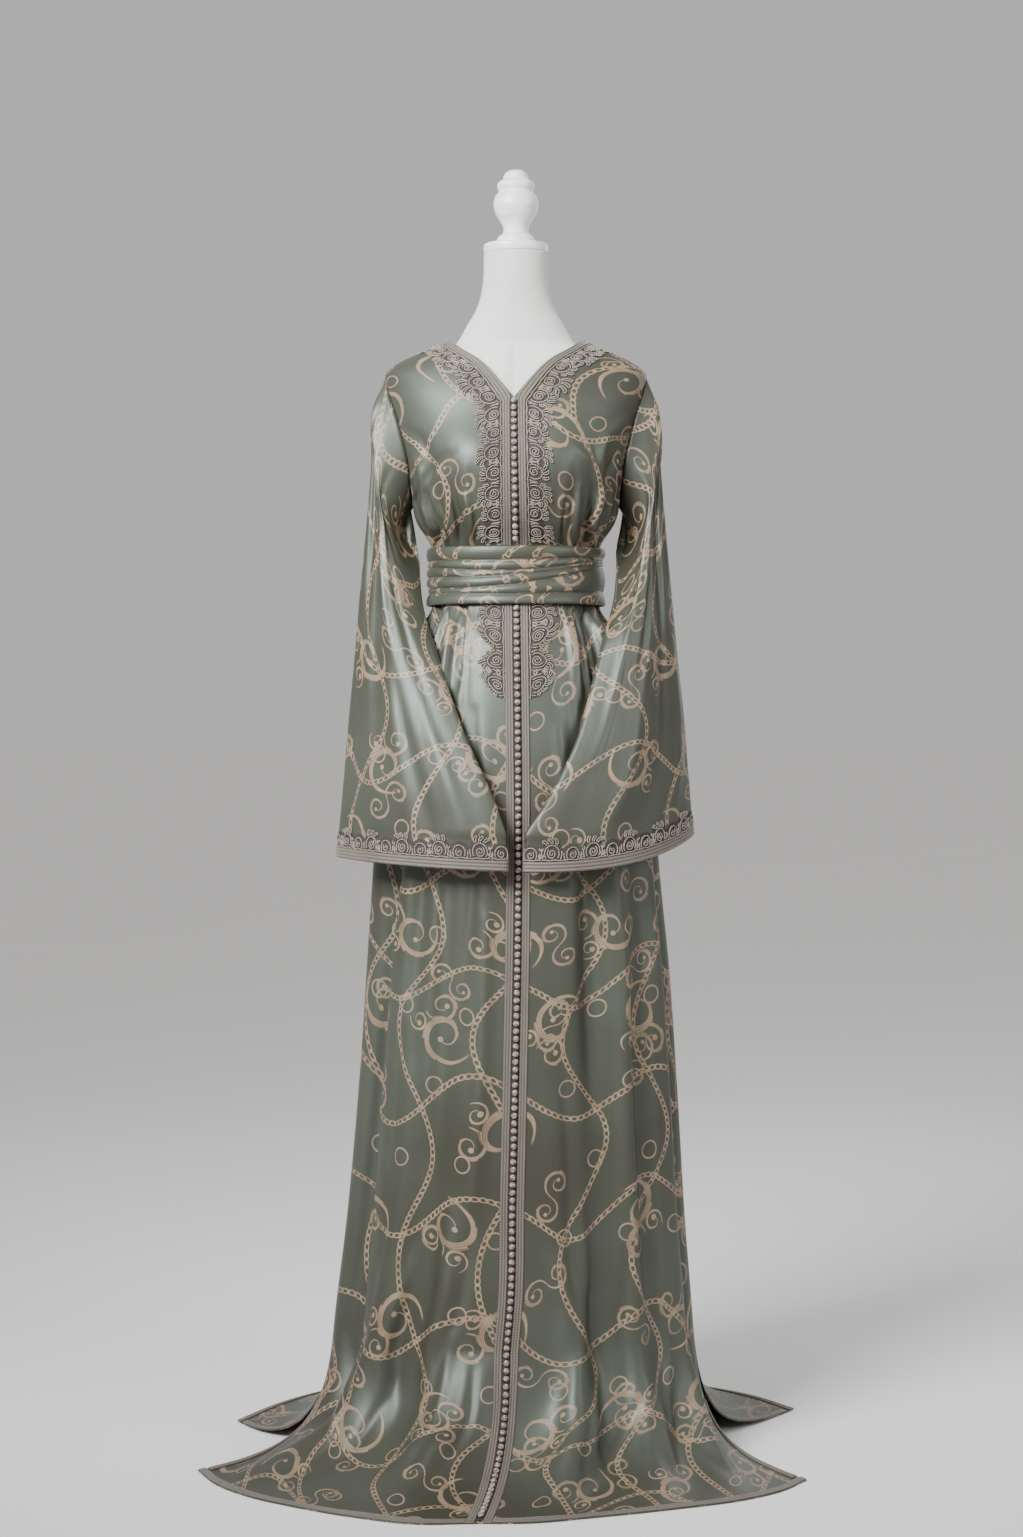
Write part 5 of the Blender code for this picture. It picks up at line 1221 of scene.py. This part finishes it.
def sleeveSection(side, values):
    row = dict(zip(sleeveColumns, np.array(values) / 1000))
    turn = 2 * math.pi * np.arange(sleeve["sides"]) / sleeve["sides"]
    share = 0.5 - 0.5 * np.cos(turn)
    outer, inner = [np.array([row[edge + axis] for axis in "XYZ"]) for edge in ("outer", "inner")]
    chord = (inner - outer) * [1.0, 1.0, 0.0]
    out = np.array([-chord[1], chord[0], 0.0]) / np.linalg.norm(chord)
    arch = 4 * share * (1 - share)
    layer = 0.5 * row["apart"] * np.sign(np.sin(turn)) * np.abs(np.sin(turn)) ** 0.75
    ripple = row["fold"] * np.cos(3 * math.pi * share) * ramp(0.0, 0.4, np.sin(turn))
    points = outer + (inner - outer) * share[:, None]
    points = points + out * (row["bow"] * arch + layer + ripple)[:, None]
    points[:, 2] -= sleeve["sag"][side] * arch * ramp(1.0, 0.8, row["outerZ"])
    points[:, 0] *= sideSign(side)
    return points


# Sleeve creases in millimetres: length from the armhole and turn share at each end, half width,
# depth, bow. Turn shares to 0.5 are the layer that shows, the others the one against the body
sleeveCreases = {
    "right": [
        (30, 0.1, 300, 0.13, 11, -4.1, 10), (50, 0.22, 420, 0.3, 13, 4.6, 14),
        (80, 0.34, 400, 0.42, 10, -3.7, 8), (180, 0.17, 550, 0.2, 14, 4.1, -10),
        (250, 0.28, 580, 0.33, 12, -4.1, 10), (300, 0.4, 560, 0.41, 10, 3.2, 6),
        (20, 0.3, 120, 0.4, 8, -3.2, 4), (360, 0.07, 580, 0.1, 10, -2.8, 0),
        (40, 0.6, 400, 0.63, 12, 3.5, 0), (100, 0.72, 500, 0.74, 14, -3.5, 0),
        (30, 0.86, 340, 0.88, 12, 4.5, 0), (200, 0.8, 560, 0.82, 14, -3, 0)],
    "left": [
        (30, 0.11, 280, 0.15, 11, 4.1, 10), (50, 0.24, 400, 0.31, 12, -4.6, 12),
        (70, 0.35, 440, 0.43, 10, 3.9, 8), (160, 0.18, 520, 0.22, 14, -4.1, -10),
        (240, 0.27, 550, 0.32, 12, 4.1, 10), (280, 0.39, 540, 0.4, 10, -3.2, 6),
        (20, 0.31, 110, 0.41, 8, 3.2, 4), (340, 0.08, 550, 0.11, 10, 2.8, 0),
        (40, 0.61, 380, 0.64, 12, -3.5, 0), (100, 0.73, 480, 0.75, 14, 3.5, 0),
        (30, 0.87, 320, 0.89, 12, -4.5, 0), (180, 0.8, 540, 0.83, 14, 3, 0)],
}


def sleeveCloth(side):
    stations = np.array([armRing(side), *[sleeveSection(side, row) for row in sleeves[side]]])
    at = np.linspace(0.0, 1.0, len(stations))
    flat = stations.reshape(len(stations), -1)
    # rows evenly spaced along the sleeve
    length = np.linalg.norm(np.diff(stations, axis=0), axis=2).mean(1)
    length = np.concatenate([[0.0], np.cumsum(length)]) / length.sum()
    shares = np.interp(np.linspace(0.0, 1.0, sleeve["rows"]), length, at)
    loops = smooth(at, flat, shares).reshape(len(shares), -1, 3)
    loops = np.concatenate([loops, loops[:, :1]], axis=1)
    centre = loops[:, :-1].mean(axis=1)[:, None]
    cloth = Cloth(loops, lambda p: p - centre)
    perimeter = cloth.across[:, -1:]
    level = np.broadcast_to(cloth.down.mean(1)[:, None], cloth.across.shape)
    # a whole turn counts as half a metre across
    rows = np.array(sleeveCreases[side]) * [0.001, 0.5, 0.001, 0.5, 0.001, 0.001, 0.001]
    out = creaseField(level, cloth.across / perimeter * 0.5, rows)
    out *= ramp(0.0, 0.03, level) * ramp(0.0, 0.05, cloth.up)
    cloth.push(out)
    cloth.points[:, -1] = cloth.points[:, 0]
    seam = cloth.normals[:, 0] + cloth.normals[:, -1]
    seam /= np.linalg.norm(seam, axis=1)[:, None]
    cloth.normals[:, 0] = cloth.normals[:, -1] = seam
    return cloth


cuff = {"braid": 0.0140, "bandTop": 0.0430, "cell": 0.0265}


def cuffTrims(side, cloth):
    columns = np.arange(cloth.points.shape[1], dtype=float)
    pile = Pile()
    hemBand(pile, cloth, columns, cuff["braid"])
    ride(pile.build(f"cuffBraid_{side}", braidMaterial), "braid", f"cuff_braid_{side}")
    perimeter = float(cloth.across[-8, -1])
    count = round(perimeter / cuff["cell"])
    width = perimeter / count
    rowIndex = np.arange(len(cloth.upMean))

    def toCloth(path):
        row = np.interp(-path[:, 1], -cloth.upMean, rowIndex)
        lower = np.floor(row).astype(int)
        share = cloth.across[lower] / cloth.across[lower, -1:]
        place = np.mod(path[:, 0] / perimeter, 1.0)
        column = [np.interp(x, share[k], columns) for k, x in enumerate(place)]
        return cloth.lifted(row, np.array(column), cords["lift"])

    pile = Pile()
    low = cuff["braid"] + 0.0008
    tall = [(cuff["bandTop"] if k % 2 else cuff["bandTop"] - 0.006) - low for k in range(count)]
    for k in range(count):
        for stroke in cellStrokes(width, tall[k], 1 if k % 3 else -1):
            layStrokes(pile, [stroke + [k * width, low]], toCloth)
    rows = np.append(np.arange(0.0, perimeter, 0.0018), perimeter - 1e-6)
    cell = np.clip((rows / width).astype(int), 0, count - 1)
    outline = scallop(rows - cell * width, width) * np.array(tall)[cell]
    ground(pile, rows, outline, lambda path: toCloth(path + [0.0, low]))
    ride(pile.build(f"cuffEmbroidery_{side}", embroideryMaterial, gapShadeMaterial), "embroidery",
         f"cuff_embroidery_{side}")


# Sash: bands between lines that run round the waist (height at the right, middle, left)
sash = {
    "clear": 0.0036, "wall": 0.0016, "sides": 184, "rows": 64, "top": 1.190, "bottom": 1.114,
    "read": (1.112, 1.192), "puff": 0.0036, "tuck": 0.0022, "hidden": (0.0470, -0.0310),
    "lines": [(1.190, 1.190, 1.190), (1.174, 1.172, 1.179), (1.165, 1.159, 1.1755),
              (1.151, 1.153, 1.1710), (1.137, 1.141, 1.1665), (1.131, 1.128, 1.1330),
              (1.114, 1.114, 1.114)],
}


def aroundBody(turn):
    face = "front" if turn <= 90 or turn >= 270 else "back"
    angle = min(turn, 360 - turn)
    return face, "left" if turn < 180 else "right", angle if face == "front" else 180 - angle


def sashCloth():
    heights = np.linspace(sash["top"], sash["bottom"], sash["rows"])
    columns, layers = [], []
    for turn in np.linspace(180.0, 540.0, sash["sides"], endpoint=False) % 360.0:
        across = math.sin(math.radians(turn))
        behind = 0.5 - 0.5 * math.cos(math.radians(turn))
        edges = []
        for k, (right, middle, left) in enumerate(sash["lines"]):
            bend = 0.5 * (left - right) * across
            curve = (0.5 * (left + right) - middle) * across**2
            inner = 0 < k < len(sash["lines"]) - 1
            sway = 0.0030 * math.sin(math.radians(2 * turn + 70 * k)) * behind if inner else 0.0
            edges.append(middle + bend + curve + sway)
        edges = np.array(edges)
        out, layer = np.zeros(len(heights)), np.zeros(len(heights))
        for k in range(len(edges) - 1):
            upper, lower = edges[k], min(edges[k + 1], edges[k] - 0.0015)
            q = (upper - heights) / (upper - lower)
            inside = (q >= 0) & (q <= 1)
            q = np.clip(q, 0.0, 1.0)
            puff = sash["puff"] * min(1.0, (upper - lower) / 0.013)
            bulge = puff * np.sin(math.pi * q) ** 0.55 + sash["tuck"] * (q - 0.3)
            out = np.where(inside, bulge, out)
            layer = np.where(inside, k, layer)
        fine = 0.0004 * np.sin(heights * 2100 + 9 * across) * ramp(0.2, 0.9, behind + 0.4)
        out = out + fine
        face, side, angle = aroundBody(turn)
        readZ = np.clip(heights, *sash["read"])
        inset = -(sash["clear"] + sash["wall"] + out)
        points = skin(face, side, np.full(len(heights), angle), readZ, False, inset)
        points[:, 2] = heights
        columns.append(points)
        layers.append(layer)
    loops = np.stack(columns, axis=1)
    loops = np.concatenate([loops, loops[:, :1]], axis=1)
    # cloth folded away between the bands shifts the print from band to band
    hidden = np.stack([*layers, layers[0]], axis=1)[..., None] * sash["hidden"]
    return Cloth(loops, lambda p: p * [1.0, 1.0, 0.0]), hidden


# Dress form and stand
form = {"z": [0.86, 0.92, 1.00, 1.05, 1.11, 1.15, 1.19, 1.24, 1.305, 1.36, 1.405, 1.44, 1.456],
        "inset": [0.036, 0.030, 0.024, 0.018, 0.0075, 0.0065, 0.0085, 0.016, 0.0085, 0.0060,
                  0.0085, 0.0120, 0.0120], "foot": 0.860, "shoulder": 1.451}
neck = {"z": [1.4610, 1.470, 1.478, 1.488, 1.503, 1.520, 1.540, 1.581],
        "width": [0.0800, 0.0740, 0.0695, 0.0640, 0.0548, 0.0482, 0.0442, 0.0425],
        "front": [0.0400, 0.0400, 0.0400, 0.0400, 0.0395, 0.0400, 0.0415, 0.0425],
        "back": [0.0425, 0.0425, 0.0430, 0.0430, 0.0425, 0.0425, 0.0425, 0.0425]}
turnedShapes = {  # height and radius down each turned piece
    "form_cap": [(1.5814, 0.0412), (1.5822, 0.0424), (1.5838, 0.0430), (1.5912, 0.0430),
                 (1.5930, 0.0424), (1.5936, 0.0414)],
    "form_finial": [
        (1.5940, 0.0262), (1.5985, 0.0258), (1.6045, 0.0226), (1.6062, 0.0196), (1.6090, 0.0172),
        (1.6150, 0.0168), (1.6230, 0.0205), (1.6340, 0.0272), (1.6455, 0.0299), (1.6560, 0.0281),
        (1.6640, 0.0232), (1.6680, 0.0246), (1.6720, 0.0250), (1.6765, 0.0222), (1.6790, 0.0180),
        (1.6865, 0.0150), (1.6905, 0.0105), (1.6920, 0.0050)],
    "stand_pole": [(0.0223, 0.0300), (0.0343, 0.0300), (0.0385, 0.0215), (0.0423, 0.0160),
                   (0.8297, 0.0160), (0.8340, 0.0230), (0.8377, 0.0300), (0.8597, 0.0300)],
    "stand_base": [(0.0, 0.1480), (0.0008, 0.1493), (0.0020, 0.1500), (0.0160, 0.1500),
                   (0.0195, 0.1485), (0.0215, 0.1455), (0.0220, 0.1440)],
}


def makeForm():
    low = np.linspace(form["foot"], form["shoulder"], 64)
    turns = np.linspace(0.0, 360.0, 80, endpoint=False)
    rings = []
    for z in low:
        inset = float(read(form, "inset", z))
        rings.append([skin(*aroundBody(turn), z, False, inset) for turn in turns])
    across, along = np.sin(np.radians(turns)), np.cos(np.radians(turns))
    body = np.array(rings)
    high = np.linspace(neck["z"][0], neck["z"][-1], 44)
    necks = []
    for z in high:
        reach = np.where(along > 0, read(neck, "front", z), read(neck, "back", z))
        necks.append(np.stack([read(neck, "width", z) * across, -reach * along,
                               np.full(len(turns), z)], 1))
    between = [body[-1] * (1 - t) + necks[0] * t for t in (0.33, 0.66)]
    points = np.concatenate([body, between, necks])
    faces = tubeFaces(len(points), len(turns))
    uvs = np.stack(np.broadcast_arrays(turns[None] / 360 * 0.62, points[..., 2]), -1)
    made = makeObject("formTorso", points.reshape(-1, 3), faces, formMaterial, uvs.reshape(-1, 2))
    ride(made, "form_skin", "form_torso")


def makeTurned(name, node, sides):
    fine = profile = np.array(turnedShapes[node])
    if node == "form_finial":
        along = walked(profile)
        fine = smooth(along, profile, np.linspace(0.0, along[-1], 4 * len(profile)))
    turn = 2 * math.pi * np.arange(sides) / sides
    points = np.stack([fine[:, 1:] * np.cos(turn), fine[:, 1:] * np.sin(turn),
                       np.broadcast_to(fine[:, :1], (len(fine), sides))], -1).reshape(-1, 3)
    made = makeObject(name, points, tubeFaces(len(fine), sides), woodMaterial)
    made.data.set_sharp_from_angle(angle=math.radians(50))
    ride(made, "painted_wood", node)


# Build
makeCamera()
floor = makeStudio()
floor.data.materials.append(floorFinish())
print("stage: camera, floor and lights")

satinMaterial = satinFinish()
braidMaterial = cordFinish("braidCord", braidLook)
embroideryMaterial = cordFinish("couchedCord", embroideryLook)
buttonMaterial = cordFinish("knotCord", buttonLook)
gapShadeMaterial = gapShadeFinish()
formMaterial = formFinish()
woodMaterial = woodFinish()
print("stage: finishes")


# where each piece's print starts across the cloth; steps along the hems and the back neckline
printStart = {"front": 0.021, "back": 0.13, "left": 0.07, "right": 0.19, "sash": 0.31}
hemSteps = {"first": 12.0, "front": 120, "back": 260, "neck": 90, "neckRows": (0.1, 2.6)}


def clothUvs(cloth, sign, offset):
    length = cloth.down.mean(1)
    return np.stack([sign * cloth.across + offset,
                     np.broadcast_to(-length[:, None], cloth.across.shape)], -1)


panels = {}
for side in ("left", "right"):
    panels[side] = creasedPanel("front", side)
    made = clothObject(f"front_{side}_cloth", panels[side],
                       clothUvs(panels[side], sideSign(side), printStart["front"]), satinMaterial)
    ride(made, "satin", f"front_{side}")
    frontBraid(side, panels[side])
    frontEmbroidery(side, panels[side])
    pile = Pile()
    last = panels[side].points.shape[1] - 1.0
    hemBand(pile, panels[side], np.linspace(hemSteps["first"], last, hemSteps["front"]))
    sideBand(pile, panels[side], slitRows(panels[side]))
    ride(pile.build(f"hemBraid_{side}", braidMaterial), "braid", f"hem_braid_front_{side}")
print("stage: front panels, braid and embroidery")

makeButtons("buttonsAbove", "buttons_bodice", panels["left"], panels["right"],
            lines["neckPoint"] - 0.001, lines["sash"])
makeButtons("buttonsBelow", "buttons_skirt", panels["left"], panels["right"],
            lines["sashFoot"], panels["left"].level[-1] + 0.004)
print("stage: buttons")

halves = {side: creasedPanel("back", side) for side in ("left", "right")}
middle = 0.5 * (halves["left"].points[:, :1] + halves["right"].points[:, :1])
joined = np.concatenate([halves["left"].points[:, :0:-1], middle, halves["right"].points[:, 1:]], 1)
backCloth = Cloth(joined, lambda p: p * [1.0, 1.0, 0.0] + [0.0, 0.0, 0.05])
backCloth.level = halves["left"].level
uvs = clothUvs(backCloth, 1.0, printStart["back"])
uvs[..., 0] -= backCloth.across[:, joined.shape[1] // 2][:, None]
made = clothObject("back_cloth", backCloth, uvs, satinMaterial)
ride(made, "satin", "back")
pile = Pile()
hemBand(pile, backCloth, np.linspace(0.0, joined.shape[1] - 1.0, hemSteps["back"]))
sideBand(pile, backCloth, slitRows(backCloth), atStart=True)
sideBand(pile, backCloth, slitRows(backCloth))
ride(pile.build("hemBraid_back", braidMaterial), "braid", "hem_braid_back")
pile = Pile()
columns = np.linspace(0.0, joined.shape[1] - 1.0, hemSteps["neck"])
(low, lowNormal), (high, highNormal) = [
    backCloth.lifted(np.full(len(columns), row), columns, 0.0) for row in hemSteps["neckRows"]]
braidBand(pile, low, high, lowNormal, highNormal)
ride(pile.build("neckBraid_back", braidMaterial), "braid", "neck_braid_back")
print("stage: back")

for side in ("left", "right"):
    cloth = sleeveCloth(side)
    uvs = clothUvs(cloth, sideSign(side), printStart[side])
    made = clothObject(f"sleeve_{side}_cloth", cloth, uvs, satinMaterial, closed=True)
    ride(made, "satin", f"sleeve_{side}")
    cuffTrims(side, cloth)
print("stage: sleeves")

cloth, hidden = sashCloth()
uvs = clothUvs(cloth, 1.0, printStart["sash"]) + hidden
made = clothObject("sash_cloth", cloth, uvs, satinMaterial, 0.0014, closed=True)
ride(made, "satin", "belt")
makeForm()
makeTurned("neckCap", "form_cap", 72)
makeTurned("finial", "form_finial", 72)
makeTurned("pole", "stand_pole", 48)
makeTurned("base", "stand_base", 96)
print("stage: sash, form and stand")
